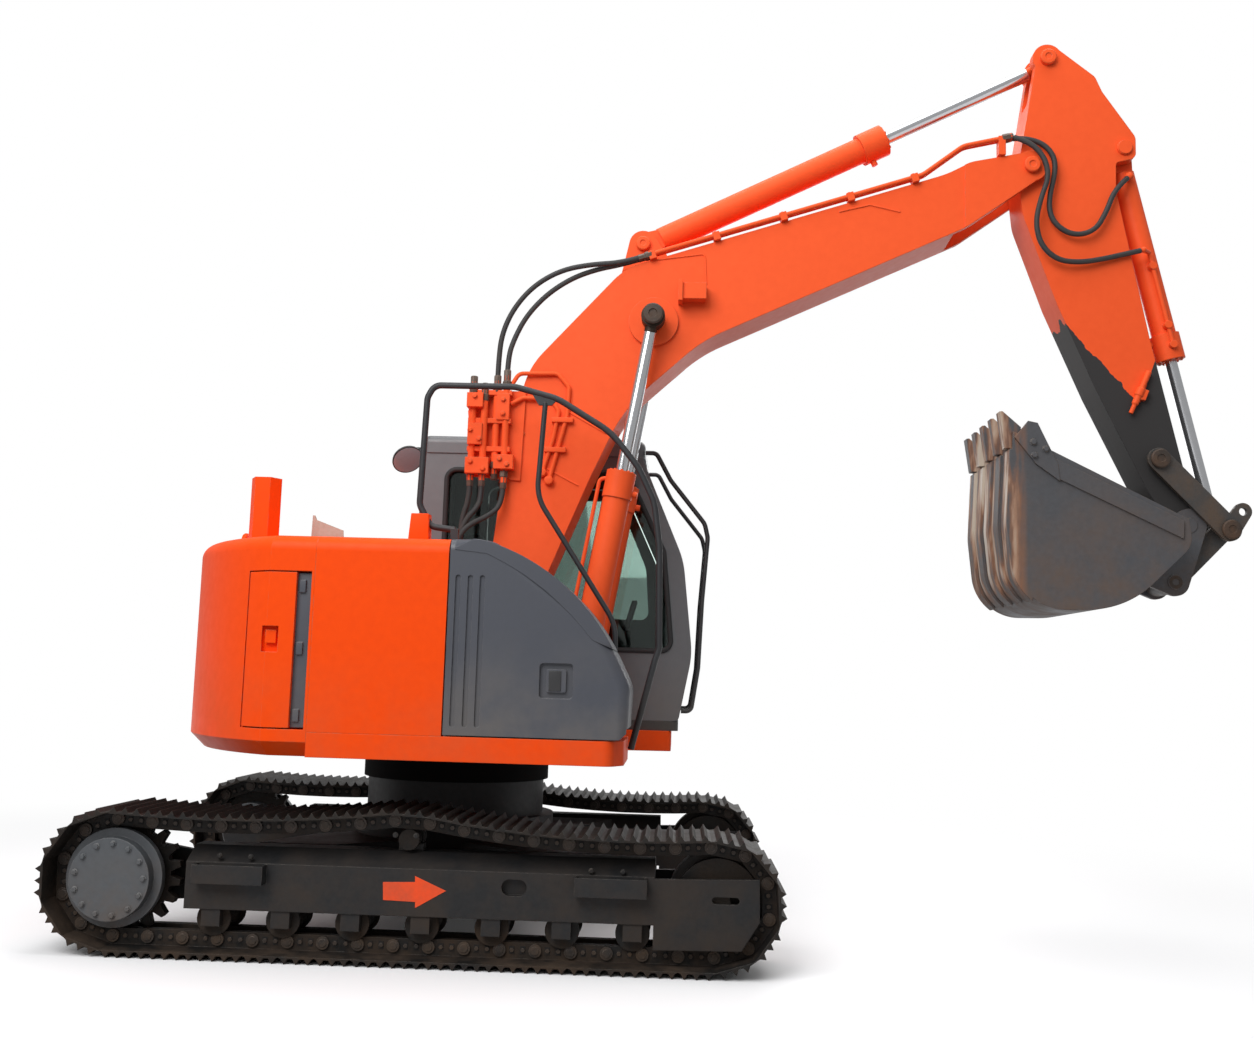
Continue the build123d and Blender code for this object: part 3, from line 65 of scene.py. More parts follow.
def wire(tree, *links):
    """Join sockets; each link is (node, output, node, input)."""
    for source, output, target, socket in links:
        tree.links.new(source.outputs[output], target.inputs[socket])


def surface(name, values):
    """New material; gives it, its node tree and its shader with these values."""
    material = bpy.data.materials.new(name)
    material.use_nodes = True
    tree = material.node_tree
    shader = tree.nodes["Principled BSDF"]
    for socket, value in values.items():
        shader.inputs[socket].default_value = value
    return material, tree, shader


def studio():
    """Floor, backdrop, lamps and camera, none of them part of the machine."""
    scene = bpy.context.scene
    scene.view_settings.view_transform = "Standard"
    mesh = bpy.data.meshes.new("floor")
    reach = 60.0
    mesh.from_pydata([(-reach, -reach, 0), (reach, -reach, 0), (reach, reach, 0), (-reach, reach, 0)], [],
                     [(0, 1, 2, 3)])
    floor = bpy.data.objects.new("floor", mesh)
    scene.collection.objects.link(floor)
    plain_white = (1, 1, 1, 1)
    material, tree, shader = surface("pale_floor", {"Roughness": 0.7})
    tone = node(tree, "Mix", {"A": (0.86, 0.86, 0.87, 1), "B": (0.20, 0.20, 0.21, 1)}, data_type="RGBA")
    place = node(tree, "TexCoord")
    far = node(tree, "VectorMath", operation="LENGTH")
    fade = node(tree, "MapRange", {"From Min": 2.6, "From Max": 7.5}, interpolation_type="SMOOTHSTEP")
    rays = node(tree, "LightPath")
    seen = node(tree, "Math", operation="MAXIMUM")
    share = node(tree, "Math", operation="MULTIPLY")
    white = node(tree, "Emission", {"Color": plain_white})
    mix = node(tree, "MixShader")
    wire(tree, (rays, "Is Diffuse Ray", tone, "Factor"), (tone, "Result", shader, "Base Color"),
         (place, "Object", far, 0), (far, "Value", fade, "Value"), (rays, "Is Camera Ray", seen, 0),
         (rays, "Is Glossy Ray", seen, 1), (fade, "Result", share, 0), (seen, 0, share, 1), (share, 0, mix, "Fac"),
         (shader, "BSDF", mix, 1), (white, "Emission", mix, 2),
         (mix, "Shader", tree.nodes["Material Output"], "Surface"))
    mesh.materials.append(material)

    world = bpy.data.worlds.new("white_room")
    scene.world = world
    world.use_nodes = True
    tree = world.node_tree
    room = tree.nodes["Background"]
    room.inputs["Color"].default_value = plain_white
    room.inputs["Strength"].default_value = 0.45
    backdrop = node(tree, "Background", {"Color": plain_white})
    rays = node(tree, "LightPath")
    seen = node(tree, "Math", operation="MAXIMUM")
    mix = node(tree, "MixShader")
    wire(tree, (rays, "Is Camera Ray", seen, 0), (rays, "Is Transmission Ray", seen, 1), (seen, 0, mix, "Fac"),
         (room, "Background", mix, 1), (backdrop, "Background", mix, 2),
         (mix, "Shader", tree.nodes["World Output"], "Surface"))

    # lamp rows: name, place, aimed at, size, power
    for name, place, target, size, power in (
            ("key_lamp", (-3.0, -8.0, 8.5), (1.0, 0.0, 2.0), 7.0, 1070),
            ("top_lamp", (2.0, 0.0, 10.5), (1.0, 0.0, 0.0), 8.0, 560),
            ("left_lamp", (3.0, 9.0, 6.0), (0.5, 0.0, 1.8), 7.0, 330)):
        data = bpy.data.lights.new(name, "AREA")
        data.energy = power
        data.size = size
        lamp = bpy.data.objects.new(name, data)
        lamp.location = place
        lamp.rotation_euler = (Vector(target) - Vector(place)).to_track_quat("-Z", "Y").to_euler()
        scene.collection.objects.link(lamp)

    image_width, focal_pixels, sensor = 1254, 1307.3, 36.0
    yaw, pitch, roll = radians(2.356), radians(6.963), radians(1.668)
    camera_place = (1.2296, -7.4905, 1.3704)
    ahead = Vector((-sin(yaw) * cos(pitch), cos(yaw) * cos(pitch), sin(pitch)))
    level = Vector((cos(yaw), sin(yaw), 0))
    rise = level.cross(ahead)
    right = level * cos(roll) + rise * sin(roll)
    up = rise * cos(roll) - level * sin(roll)
    data = bpy.data.cameras.new("camera")
    data.sensor_width = sensor
    data.lens = sensor * focal_pixels / image_width
    camera = bpy.data.objects.new("camera", data)
    turn = Matrix((right, up, -ahead)).transposed().to_4x4()
    camera.matrix_world = Matrix.Translation(camera_place) @ turn
    scene.collection.objects.link(camera)
    scene.camera = camera


studio()


# Tracks: cast steel shoes and links, dark and worn bright at the grousers, caked with dried brown soil.
# Each loop is one piece with its shoes; rollers, idlers, sprockets and carrier rollers share its finish.
def shader_group(name, inputs, outputs=("Mask",)):
    """Shader node group with number sockets; gives it, its two ends, the place on the piece and its axes."""
    group = bpy.data.node_groups.new(name, "ShaderNodeTree")
    for label, value in inputs.items():
        group.interface.new_socket(label, in_out="INPUT", socket_type="NodeSocketFloat").default_value = value
    for label in outputs:
        group.interface.new_socket(label, in_out="OUTPUT", socket_type="NodeSocketFloat")
    given, made = node(group, "NodeGroupInput"), node(group, "NodeGroupOutput")
    place, axes = node(group, "TexCoord"), node(group, "SeparateXYZ")
    wire(group, (place, "Object", axes, 0))
    return group, given, made, place, axes


def weathering_group():
    """Masks that several finishes share: soil that thins out with height, fine grain and worn edges."""
    group, given, made, place, axes = shader_group(
        "weathering", {"Soil Low": 0.0, "Soil High": 1.0, "Patch Scale": 3.0, "Edge Radius": 0.008},
        ("Soil", "Grain", "Edge"))
    height = node(group, "MapRange")
    patches = node(group, "TexNoise", {"Detail": 6, "Roughness": 0.65})
    cover = node(group, "MapRange", {"From Min": 0.38, "From Max": 0.66})
    soil = node(group, "Math", operation="MULTIPLY")
    finer = node(group, "Math", {1: 9}, operation="MULTIPLY")
    grain = node(group, "TexNoise", {"Detail": 4})
    rounded = node(group, "Bevel", samples=4)
    flat = node(group, "NewGeometry")
    bend = node(group, "VectorMath", operation="DOT_PRODUCT")
    edge = node(group, "MapRange", {"From Min": 0.99, "From Max": 0.86})
    chips = node(group, "MapRange", {"From Min": 0.42, "From Max": 0.58})
    worn = node(group, "Math", operation="MULTIPLY")
    wire(group, (axes, "Z", height, "Value"), (given, "Soil High", height, "From Min"),
         (given, "Soil Low", height, "From Max"), (place, "Object", patches, "Vector"),
         (given, "Patch Scale", patches, "Scale"), (patches, "Fac", cover, "Value"), (height, "Result", soil, 0),
         (cover, "Result", soil, 1), (soil, 0, made, "Soil"), (given, "Patch Scale", finer, 0),
         (finer, 0, grain, "Scale"), (place, "Object", grain, "Vector"), (grain, "Fac", made, "Grain"),
         (given, "Edge Radius", rounded, "Radius"), (rounded, "Normal", bend, 0), (flat, "Normal", bend, 1),
         (bend, "Value", edge, "Value"), (grain, "Fac", chips, "Value"), (edge, "Result", worn, 0),
         (chips, "Result", worn, 1), (worn, 0, made, "Edge"))
    return group


weathering = weathering_group()


def weathered(name, colour, shade, worn_colour, soil_colour, soil, edge_radius, roughness, metallic=0.0,
              coat=0.0, bump=0.0, specular=0.5):
    """Finish with two tones of its own colour, worn edges and soil; soil is (low, high, patch scale)."""
    material, tree, shader = surface(name, {
        "Metallic": metallic, "Specular IOR Level": specular, "Coat Weight": coat, "Coat Roughness": 0.12})
    marks = node(tree, "Group", zip(("Soil Low", "Soil High", "Patch Scale", "Edge Radius"),
                                              (*soil, edge_radius)), node_tree=weathering)
    tones = node(tree, "Mix", {"A": (*colour, 1), "B": (*shade, 1)}, data_type="RGBA")
    edges = node(tree, "Mix", {"B": (*worn_colour, 1)}, data_type="RGBA")
    caked = node(tree, "Mix", {"B": (*soil_colour, 1)}, data_type="RGBA")
    gloss = node(tree, "MapRange", {"To Min": roughness - 0.07, "To Max": roughness + 0.09})
    dull = node(tree, "Mix", {"B": 0.9})
    relief = rounded = node(tree, "Bevel", {"Radius": edge_radius}, samples=4)
    wire(tree, (marks, "Grain", tones, "Factor"), (tones, "Result", edges, "A"), (marks, "Edge", edges, "Factor"),
         (edges, "Result", caked, "A"), (marks, "Soil", caked, "Factor"), (caked, "Result", shader, "Base Color"),
         (marks, "Grain", gloss, "Value"), (gloss, "Result", dull, "A"), (marks, "Soil", dull, "Factor"),
         (dull, "Result", shader, "Roughness"))
    if bump:
        relief = node(tree, "Bump", {"Strength": bump, "Distance": 0.004})
        wire(tree, (marks, "Grain", relief, "Height"), (rounded, "Normal", relief, "Normal"))
    wire(tree, (relief, "Normal", shader, "Normal"))
    return material


def finish_nodes(material, *names):
    """Give the named solids this finish."""
    for name in names:
        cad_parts[name].material_slots[0].material = material


SOIL = (0.115, 0.075, 0.048)
track_steel = weathered("track_steel", (0.012, 0.0112, 0.0105), (0.0055, 0.005, 0.0047), (0.08, 0.070, 0.062),
                        (0.055, 0.036, 0.024), (0.0, 1.0, 5.0), 0.005, 0.55, metallic=0.25, bump=0.5, specular=0.3)
finish_nodes(track_steel, "track_right", "track_left", "track_rollers", "idlers", "sprockets", "carrier_rollers")
pin_steel = weathered("pin_steel", (0.050, 0.040, 0.034), (0.024, 0.020, 0.018), (0.16, 0.13, 0.11), SOIL,
                      (-0.2, 0.9, 9.0), 0.003, 0.5, metallic=0.5, bump=0.4)
# Near black for the plates in the chain's link windows: painted shade standing in for the openings.
window_painted_shade = weathered("window_painted_shade", (0.004, 0.004, 0.004), (0.006, 0.005, 0.005), (0.01, 0.01, 0.01), SOIL,
                         (-1.0, 0.25, 9.0), 0.002, 0.9)


def size_tree(name, sizes):
    """Geometry Nodes tree with one geometry socket each way and named sizes."""
    tree = bpy.data.node_groups.new(name, "GeometryNodeTree")
    tree.interface.new_socket("Geometry", in_out="INPUT", socket_type="NodeSocketGeometry")
    for label, kind in sizes.items():
        tree.interface.new_socket(label, in_out="INPUT", socket_type="NodeSocket" + kind)
    tree.interface.new_socket("Geometry", in_out="OUTPUT", socket_type="NodeSocketGeometry")
    return tree, node(tree, "NodeGroupInput"), node(tree, "NodeGroupOutput")


def in_line(tree, *chain):
    """Join nodes one after another by their first sockets."""
    for source, target in zip(chain, chain[1:]):
        tree.links.new(source.outputs[0], target.inputs[0])


def riding(name, mesh, body):
    """New piece with this mesh, on a body."""
    piece = bpy.data.objects.new(name, mesh)
    bpy.context.scene.collection.objects.link(piece)
    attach(piece, body)
    return piece


def grown(name, tree, mesh, sizes, body):
    """Plain mesh that a tree grows on a wire or a set of points, riding on a body."""
    source = bpy.data.objects.new(name + "_source", mesh)
    bpy.context.scene.collection.objects.link(source)
    modifier = source.modifiers.new("grow", "NODES")
    modifier.node_group = tree
    for item in tree.interface.items_tree:
        if item.in_out == "INPUT" and item.name in sizes:
            modifier[item.identifier] = sizes[item.name]
    graph = bpy.context.evaluated_depsgraph_get()
    made = bpy.data.meshes.new_from_object(source.evaluated_get(graph), depsgraph=graph)
    source.modifiers.remove(modifier)
    bpy.data.objects.remove(source)
    return riding(name, made, body)


def chain_tree():
    """Pin ends on the chain's corners, and two bolt windows with their nuts on each link between; each window is a thin
    near-black plate, painted shade for the opening.
    """
    tree, given, made = size_tree("chain_fittings", {
        "Pin Radius": "Float", "Pin Length": "Float", "Window Size": "Vector", "Window Offset": "Float",
        "Pin Finish": "Material", "Window Shade Finish": "Material"})
    joined = node(tree, "JoinGeometry")
    crosswise = {"Rotation": (pi / 2, 0, 0)}
    # round rows: share of the pin's radius, share of its length
    for radius_share, length_share in ((1.0, 0.75), (0.62, 1.0)):
        radius = node(tree, "ShaderNodeMath", {1: radius_share}, operation="MULTIPLY")
        length = node(tree, "ShaderNodeMath", {1: length_share}, operation="MULTIPLY")
        pin = node(tree, "MeshCylinder", {"Vertices": 14})
        across = node(tree, "Transform", crosswise)
        coat = node(tree, "SetMaterial")
        placed = node(tree, "InstanceOnPoints")
        wire(tree, (given, "Pin Radius", radius, 0), (given, "Pin Length", length, 0), (radius, 0, pin, "Radius"),
             (length, 0, pin, "Depth"), (given, "Pin Finish", coat, "Material"), (coat, 0, placed, "Instance"))
        in_line(tree, pin, across, coat)
        in_line(tree, given, placed, joined)
    way = node(tree, "InputNamedAttribute", {"Name": "way"}, data_type="FLOAT_VECTOR")
    turn = node(tree, "FunctionNodeAlignRotationToVector", axis="X", pivot_axis="Y")
    middles = node(tree, "MeshToPoints", mode="EDGES")
    wire(tree, (way, "Attribute", turn, "Vector"))
    in_line(tree, given, middles)
    for side in (-1, 1):
        offset = node(tree, "ShaderNodeMath", {1: side}, operation="MULTIPLY")
        shift = node(tree, "ShaderNodeCombineXYZ")
        window = node(tree, "MeshCube")
        dark = node(tree, "SetMaterial")
        nut = node(tree, "MeshCylinder", {"Vertices": 6, "Radius": 0.011, "Depth": 0.012})
        nut_turn = node(tree, "Transform", crosswise)
        bright = node(tree, "SetMaterial")
        pair = node(tree, "JoinGeometry")
        moved = node(tree, "Transform")
        placed = node(tree, "InstanceOnPoints")
        wire(tree, (given, "Window Offset", offset, 0), (offset, 0, shift, "X"), (given, "Window Size", window, "Size"),
             (given, "Window Shade Finish", dark, "Material"), (given, "Pin Finish", bright, "Material"),
             (shift, 0, moved, "Translation"), (moved, 0, placed, "Instance"), (turn, 0, placed, "Rotation"))
        in_line(tree, window, dark, pair)
        in_line(tree, nut, nut_turn, bright, pair, moved)
        in_line(tree, middles, placed, joined)
    real = node(tree, "RealizeInstances")
    in_line(tree, joined, real, made)
    return tree


def arc_through(first, middle, last, count):
    """Points on the arc from first through middle to last, without the last."""
    (ax, az), (bx, bz), (cx, cz) = first, middle, last
    double = 2 * (ax * (bz - cz) + bx * (cz - az) + cx * (az - bz))
    a2, b2, c2 = ax * ax + az * az, bx * bx + bz * bz, cx * cx + cz * cz
    x = (a2 * (bz - cz) + b2 * (cz - az) + c2 * (az - bz)) / double
    z = (a2 * (cx - bx) + b2 * (ax - cx) + c2 * (bx - ax)) / double
    radius = hypot(ax - x, az - z)
    start = atan2(az - z, ax - x)
    swing = atan2(cz - z, cx - x) - start
    halfway = atan2(bz - z, bx - x) - start
    if not (0 < halfway / swing < 1):
        swing += 2 * pi if swing < 0 else -2 * pi
    return [(x + radius * cos(start + swing * k / count), z + radius * sin(start + swing * k / count))
            for k in range(count)]


def chain_corners(count):
    """The pins of one chain, evenly spaced on the pin line round sprocket, carrier roller and idler."""
    rear, front, low, carrier = -1.45, 1.45, 0.075, (-0.040, 0.669)
    sprocket_r, idler_r = 0.275, 0.255
    rear_top, front_top = (rear, low + 2 * sprocket_r), (front, low + 2 * idler_r)
    front_sag, rear_sag = 0.050, 0.038
    front_mid = ((carrier[0] + front) / 2, (carrier[1] + front_top[1]) / 2 - front_sag)
    rear_mid = ((carrier[0] + rear) / 2, (carrier[1] + rear_top[1]) / 2 - rear_sag)
    line = [(rear, low)]
    line += arc_through((front, low), (front + idler_r, low + idler_r), front_top, 120)
    line += arc_through(front_top, front_mid, carrier, 60)
    line += arc_through(carrier, rear_mid, rear_top, 60)
    line += arc_through(rear_top, (rear - sprocket_r, low + sprocket_r), (rear, low), 120)
    runs = [hypot(b[0] - a[0], b[1] - a[1]) for a, b in zip(line, line[1:] + line[:1])]
    step, pins, gone, k = sum(runs) / count, [], 0.0, 0
    for n in range(count):
        while gone + runs[k] < n * step - 1e-9:
            gone += runs[k]
            k += 1
        a, b = line[k], line[(k + 1) % len(line)]
        share = (n * step - gone) / runs[k]
        pins.append((a[0] + (b[0] - a[0]) * share, a[1] + (b[1] - a[1]) * share))
    return pins


def chain_wire(faces_y, count):
    """Closed wires through the chain's pins on the outer faces of the link rows."""
    pins = chain_corners(count)
    vertices = [(x, y, z) for y in faces_y for x, z in pins]
    edges = [(row * count + k, row * count + (k + 1) % count) for row in range(len(faces_y)) for k in range(count)]
    mesh = bpy.data.meshes.new("chain_wire")
    mesh.from_pydata(vertices, edges, [])
    way = mesh.attributes.new("way", "FLOAT_VECTOR", "EDGE")
    for k, (a, b) in enumerate(edges):
        way.data[k].vector = Vector(vertices[b]) - Vector(vertices[a])
    return mesh


SHOES = 44
grown("chain_fittings", chain_tree(), chain_wire((-1.0925, -0.8975, 0.8975, 1.0925), SHOES), {
    "Pin Radius": 0.031, "Pin Length": 0.030, "Window Size": (0.024, 0.004, 0.036), "Window Offset": 0.026,
    "Pin Finish": pin_steel, "Window Shade Finish": window_painted_shade}, "undercarriage")

# Undercarriage: welded track frames, car body and final drives in satin charcoal paint, dusty below.
# The round covers of the final drives are paler and carry a ring of bolts; an orange arrow marks the front.
charcoal = weathered("charcoal_paint", (0.018, 0.0185, 0.0195), (0.010, 0.010, 0.011), (0.09, 0.08, 0.07),
                     (0.050, 0.036, 0.027), (0.0, 0.75, 4.0), 0.006, 0.5, bump=0.15, specular=0.25)
finish_nodes(charcoal, "track_frame_right", "track_frame_left", "car_body")
drive_grey = weathered("drive_grey", (0.078, 0.086, 0.094), (0.058, 0.062, 0.068), (0.18, 0.18, 0.18), SOIL,
                       (0.0, 0.5, 4.0), 0.006, 0.5, bump=0.1)
finish_nodes(drive_grey, "final_drives")


def bolt_tree():
    """Hexagon heads on round washers, turned to the direction that each point faces."""
    tree, given, made = size_tree("hex_bolts", {
        "Head Radius": "Float", "Head Height": "Float", "Washer Radius": "Float", "Finish": "Material"})
    facing = node(tree, "InputNamedAttribute", {"Name": "facing"}, data_type="FLOAT_VECTOR")
    turn = node(tree, "FunctionNodeAlignRotationToVector", axis="Z")
    washer = node(tree, "MeshCylinder", {"Vertices": 14, "Depth": 0.006})
    head = node(tree, "MeshCylinder", {"Vertices": 6})
    half = node(tree, "ShaderNodeMath", {1: 0.5}, operation="MULTIPLY")
    lift = node(tree, "ShaderNodeCombineXYZ")
    raised = node(tree, "Transform")
    both = node(tree, "JoinGeometry")
    coat = node(tree, "SetMaterial")
    placed = node(tree, "InstanceOnPoints")
    real = node(tree, "RealizeInstances")
    wire(tree, (given, "Washer Radius", washer, "Radius"), (given, "Head Radius", head, "Radius"),
         (given, "Head Height", head, "Depth"), (given, "Head Height", half, 0), (half, 0, lift, "Z"),
         (lift, 0, raised, "Translation"), (both, 0, placed, "Instance"), (facing, "Attribute", turn, "Vector"),
         (turn, 0, placed, "Rotation"), (given, "Finish", coat, "Material"))
    in_line(tree, washer, both)
    in_line(tree, head, raised, both)
    in_line(tree, given, placed, real, coat, made)
    return tree


hex_bolts = bolt_tree()


def bolts(name, seats, head_radius, finish, body):
    """Bolts on seats of (place, facing), sized from the head's radius."""
    mesh = bpy.data.meshes.new(name + "_seats")
    mesh.from_pydata([place for place, _ in seats], [], [])
    facing = mesh.attributes.new("facing", "FLOAT_VECTOR", "POINT")
    for k, (_, way) in enumerate(seats):
        facing.data[k].vector = way
    return grown(name, hex_bolts, mesh, {
        "Head Radius": head_radius, "Head Height": head_radius * 1.1, "Washer Radius": head_radius * 1.35,
        "Finish": finish}, body)


def circle(centre, facing, radius, count, start=0.0):
    """Points evenly round a centre, square to the direction they face."""
    facing = Vector(facing).normalized()
    across = facing.orthogonal().normalized()
    up = facing.cross(across)
    turns = [start + 2 * pi * k / count for k in range(count)]
    return [Vector(centre) + radius * (across * cos(turn) + up * sin(turn)) for turn in turns]


def ring(centre, facing, radius, count, start=0.0):
    """Bolt seats evenly round a centre."""
    return [(point, Vector(facing).normalized()) for point in circle(centre, facing, radius, count, start)]


DRIVE_X, DRIVE_Z, DRIVE_BOLTS, DRIVE_BOLT_CIRCLE = -1.45, 0.350, 13, 0.168
seats = []
for corner, side in zip(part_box("final_drives"), (-1, 1)):
    seats += ring((DRIVE_X, corner[1], DRIVE_Z), (0, side, 0), DRIVE_BOLT_CIRCLE, DRIVE_BOLTS)
bolts("drive_bolts", seats, 0.012, drive_grey, "undercarriage")
FRAME_FACE = 1.170
seats = [((x, side * FRAME_FACE, z), (0, side, 0)) for side in (-1, 1)
         for x, z in ((-0.09, 0.60), (0.01, 0.60), (-0.93, 0.475), (-0.78, 0.475), (0.85, 0.465), (1.0, 0.465))]
bolts("frame_bolts", seats, 0.010, charcoal, "undercarriage")


def lofted(mesh, rings):
    """Add the closed form through rings of points to a bmesh."""
    rings = [[mesh.verts.new(point) for point in points] for points in rings]
    mesh.faces.new(rings[0])
    mesh.faces.new(rings[-1])
    count = len(rings[0])
    for low, high in zip(rings, rings[1:]):
        for k in range(count):
            mesh.faces.new((low[k], low[(k + 1) % count], high[(k + 1) % count], high[k]))


def slab(mesh, corners, y_from, y_to):
    """Add a plate to a bmesh: corners as (x, z), from one y to another."""
    lofted(mesh, [[(x, y, z) for x, z in corners] for y in (y_from, y_to)])


def oblong(x_from, z_from, x_to, z_to):
    """Corners of an upright oblong."""
    return (x_from, z_from), (x_to, z_from), (x_to, z_to), (x_from, z_to)


def smoothed(mesh, degrees):
    """Smooth a mesh, apart from edges that are sharper than an angle."""
    for polygon in mesh.polygons:
        polygon.use_smooth = True
    mesh.set_sharp_from_angle(angle=radians(degrees))


def shaped(name, mesh, material, body, bevel=0.0):
    """Turn a bmesh into a piece that rides on a body, with its faces outwards and its edges eased."""
    bmesh.ops.remove_doubles(mesh, verts=mesh.verts, dist=1e-6)
    bmesh.ops.recalc_face_normals(mesh, faces=mesh.faces)
    if bevel:
        corner = 0.6
        sharp = [edge for edge in mesh.edges if len(edge.link_faces) == 2 and edge.calc_face_angle() > corner]
        bmesh.ops.bevel(mesh, geom=sharp, offset=bevel, segments=2, affect="EDGES", profile=0.7)
    data = bpy.data.meshes.new(name)
    mesh.to_mesh(data)
    mesh.free()
    smoothed(data, 32)
    data.materials.append(material)
    return riding(name, data, body)


def plates(name, rows, material, body, bevel=0.0):
    """Piece of plates; each row is (corners, y from, y to)."""
    mesh = bmesh.new()
    for row in rows:
        slab(mesh, *row)
    return shaped(name, mesh, material, body, bevel)


ORANGE, ORANGE_SHADE = (0.95, 0.078, 0.004), (0.85, 0.062, 0.003)
mark_paint = weathered("mark_paint", ORANGE, ORANGE_SHADE, (0.30, 0.08, 0.04), SOIL, (0.0, 0.5, 6.0), 0.002, 0.5)
arrow = ((-0.139, 0.380), (0.014, 0.385), (0.013, 0.413), (0.164, 0.349), (0.020, 0.265), (0.019, 0.293),
         (-0.134, 0.297))
ARROW_BACK, ARROW_FACE = 1.1695, 1.1715
plates("front_arrow", [(arrow, side * ARROW_BACK, side * ARROW_FACE) for side in (-1, 1)], mark_paint,
       "undercarriage")


# Upper body: main frame, cast counterweight and sheet covers in gloss orange, scuffed at the edges; the slewing
# ring is black, and the frame below its top is near black, darker still as painted shade under the deck.
# A grey inner strip shows beside the service door, whose grip sits in a pressed pan. A welded post carries the right
# rail.
def orange_gloss(name, colour, shade):
    """Gloss orange paint, paler where edges are scuffed, with a film of dust."""
    return weathered(name, colour, shade, (0.62, 0.16, 0.08), (0.30, 0.12, 0.06), (-0.5, 1.5, 2.5), 0.006, 0.40,
                     specular=0.09)


orange = orange_gloss("orange_paint", ORANGE, ORANGE_SHADE)
finish_nodes(orange, "counterweight", "service_door", "right_panel", "left_panel", "engine_lid", "exhaust_stack")


def below_group():
    """Mask that is 1 below a height."""
    group, given, made, _, axes = shader_group("below", {"Height": 0.0})
    below = node(group, "Math", operation="LESS_THAN")
    wire(group, (axes, "Z", below, 0), (given, "Height", below, 1), (below, 0, made, "Mask"))
    return group


def paint_over(material, group, values, colour, roughness):
    """Lay a second paint over a finish where a group's mask is 1."""
    tree = material.node_tree
    shader = tree.nodes["Principled BSDF"]
    mask = node(tree, "Group", values, node_tree=group)
    # socket rows: name, value of the second paint, kind of mix
    for socket, value, kind in (("Base Color", (*colour, 1), "RGBA"), ("Roughness", roughness, "FLOAT")):
        mix = node(tree, "Mix", {"B": value}, data_type=kind)
        tree.links.new(shader.inputs[socket].links[0].from_socket, mix.inputs["A"])
        wire(tree, (mask, "Mask", mix, "Factor"), (mix, "Result", shader, socket))


RING_TOP = 0.9545
frame_paint = orange_gloss("frame_paint", ORANGE, ORANGE_SHADE)
# Near black below the ring's top: the ring's own black paint, darkened further as painted shade under the upper body.
paint_over(frame_paint, below_group(), {"Height": RING_TOP}, (0.004, 0.004, 0.004), 0.8)
finish_nodes(frame_paint, "main_frame")
slate = weathered("slate_paint", (0.054, 0.059, 0.075), (0.044, 0.048, 0.061), (0.12, 0.12, 0.13),
                  (0.14, 0.12, 0.10), (0.6, 1.6, 2.5), 0.006, 0.42, coat=0.1)
black = weathered("black_paint", (0.020, 0.020, 0.022), (0.013, 0.013, 0.014), (0.08, 0.08, 0.08),
                  (0.10, 0.08, 0.06), (0.6, 1.4, 3.0), 0.004, 0.4)
finish_nodes(black, "engine", "fuel_tank")
strip = [(oblong(-0.624, 1.092, -0.543, 1.835), -1.216, -1.206)]
strip += [(oblong(-0.606, z - 0.03, -0.575, z + 0.03), -1.228, -1.214) for z in (1.15, 1.47, 1.77)]
plates("door_jamb", strip, slate, "upper", bevel=0.003)
plates("grip_pan", [(oblong(-0.790, 1.437, -0.680, 1.587), -1.198, -1.191)], orange, "service_door",
       bevel=0.002)
post = ((-0.204, 2.0205), (-0.090, 2.0205), (-0.096, 2.205), (-0.190, 2.205))
plates("rail_post", [(post, -0.700, -0.612)], orange, "upper", bevel=0.006)
pale = weathered("pale_sheet", (0.42, 0.36, 0.31), (0.35, 0.25, 0.19), (0.30, 0.12, 0.06), SOIL, (0.0, 0.5, 6.0),
                 0.003, 0.6)
flap = ((-0.800, 2.048), (-0.796, 2.215), (-0.782, 2.215), (-0.772, 2.190), (-0.622, 2.135), (-0.615, 2.048))
plates("intake_flap", [(flap, -0.405, -0.398)], pale, "engine_lid", bevel=0.002)


# Engine lid: flat steel sheet over the bay in the body's orange, stiffened by pressed ribs.
# Bolts at its front edge hold the hinges, and a bent rod at the rear is its grip.
def bead_tree():
    """Round bead along a wire whose corners are rounded: seals, grips, bent rods."""
    tree, given, made = size_tree("bead", {"Corner Radius": "Float", "Bead Radius": "Float", "Finish": "Material"})
    line = node(tree, "MeshToCurve")
    rounded = node(tree, "FilletCurve", {"Count": 6, "Limit Radius": True}, mode="POLY")
    section = node(tree, "CurvePrimitiveCircle", {"Resolution": 10})
    skin = node(tree, "CurveToMesh", {"Fill Caps": True})
    coat = node(tree, "SetMaterial")
    real = node(tree, "RealizeInstances")
    wire(tree, (given, "Corner Radius", rounded, "Radius"), (given, "Bead Radius", section, "Radius"),
         (section, 0, skin, "Profile Curve"), (given, "Finish", coat, "Material"))
    in_line(tree, given, line, rounded, skin, real, coat, made)
    return tree


bead = bead_tree()


def beads(name, lines, corner, radius, finish, body, closed=False):
    """Beads along lines of points."""
    vertices, edges = [], []
    for line in lines:
        first = len(vertices)
        vertices += line
        edges += [(first + k, first + k + 1) for k in range(len(line) - 1)]
        if closed:
            edges.append((first + len(line) - 1, first))
    mesh = bpy.data.meshes.new(name + "_line")
    mesh.from_pydata(vertices, edges, [])
    piece = grown(name, bead, mesh, {"Corner Radius": corner, "Bead Radius": radius, "Finish": finish}, body)
    smoothed(piece.data, 50)
    return piece


grip = [(-0.845, y, z) for y, z in ((-0.245, 2.049), (-0.245, 2.085), (-0.085, 2.085), (-0.085, 2.049))]
beads("lid_grip", [grip], 0.02, 0.009, black, "engine_lid")
rib = ((-0.74, 2.048), (-0.14, 2.048), (-0.16, 2.060), (-0.72, 2.060))
plates("lid_ribs", [(rib, y - 0.022, y + 0.022) for y in (-0.48, -0.30, -0.03, 0.15)], orange, "engine_lid",
       bevel=0.004)
seats = [((x, y, 2.050), (0, 0, 1)) for y in (-0.52, 0.19) for x in (-0.10, -0.06)]
bolts("lid_bolts", seats, 0.010, orange, "engine_lid")

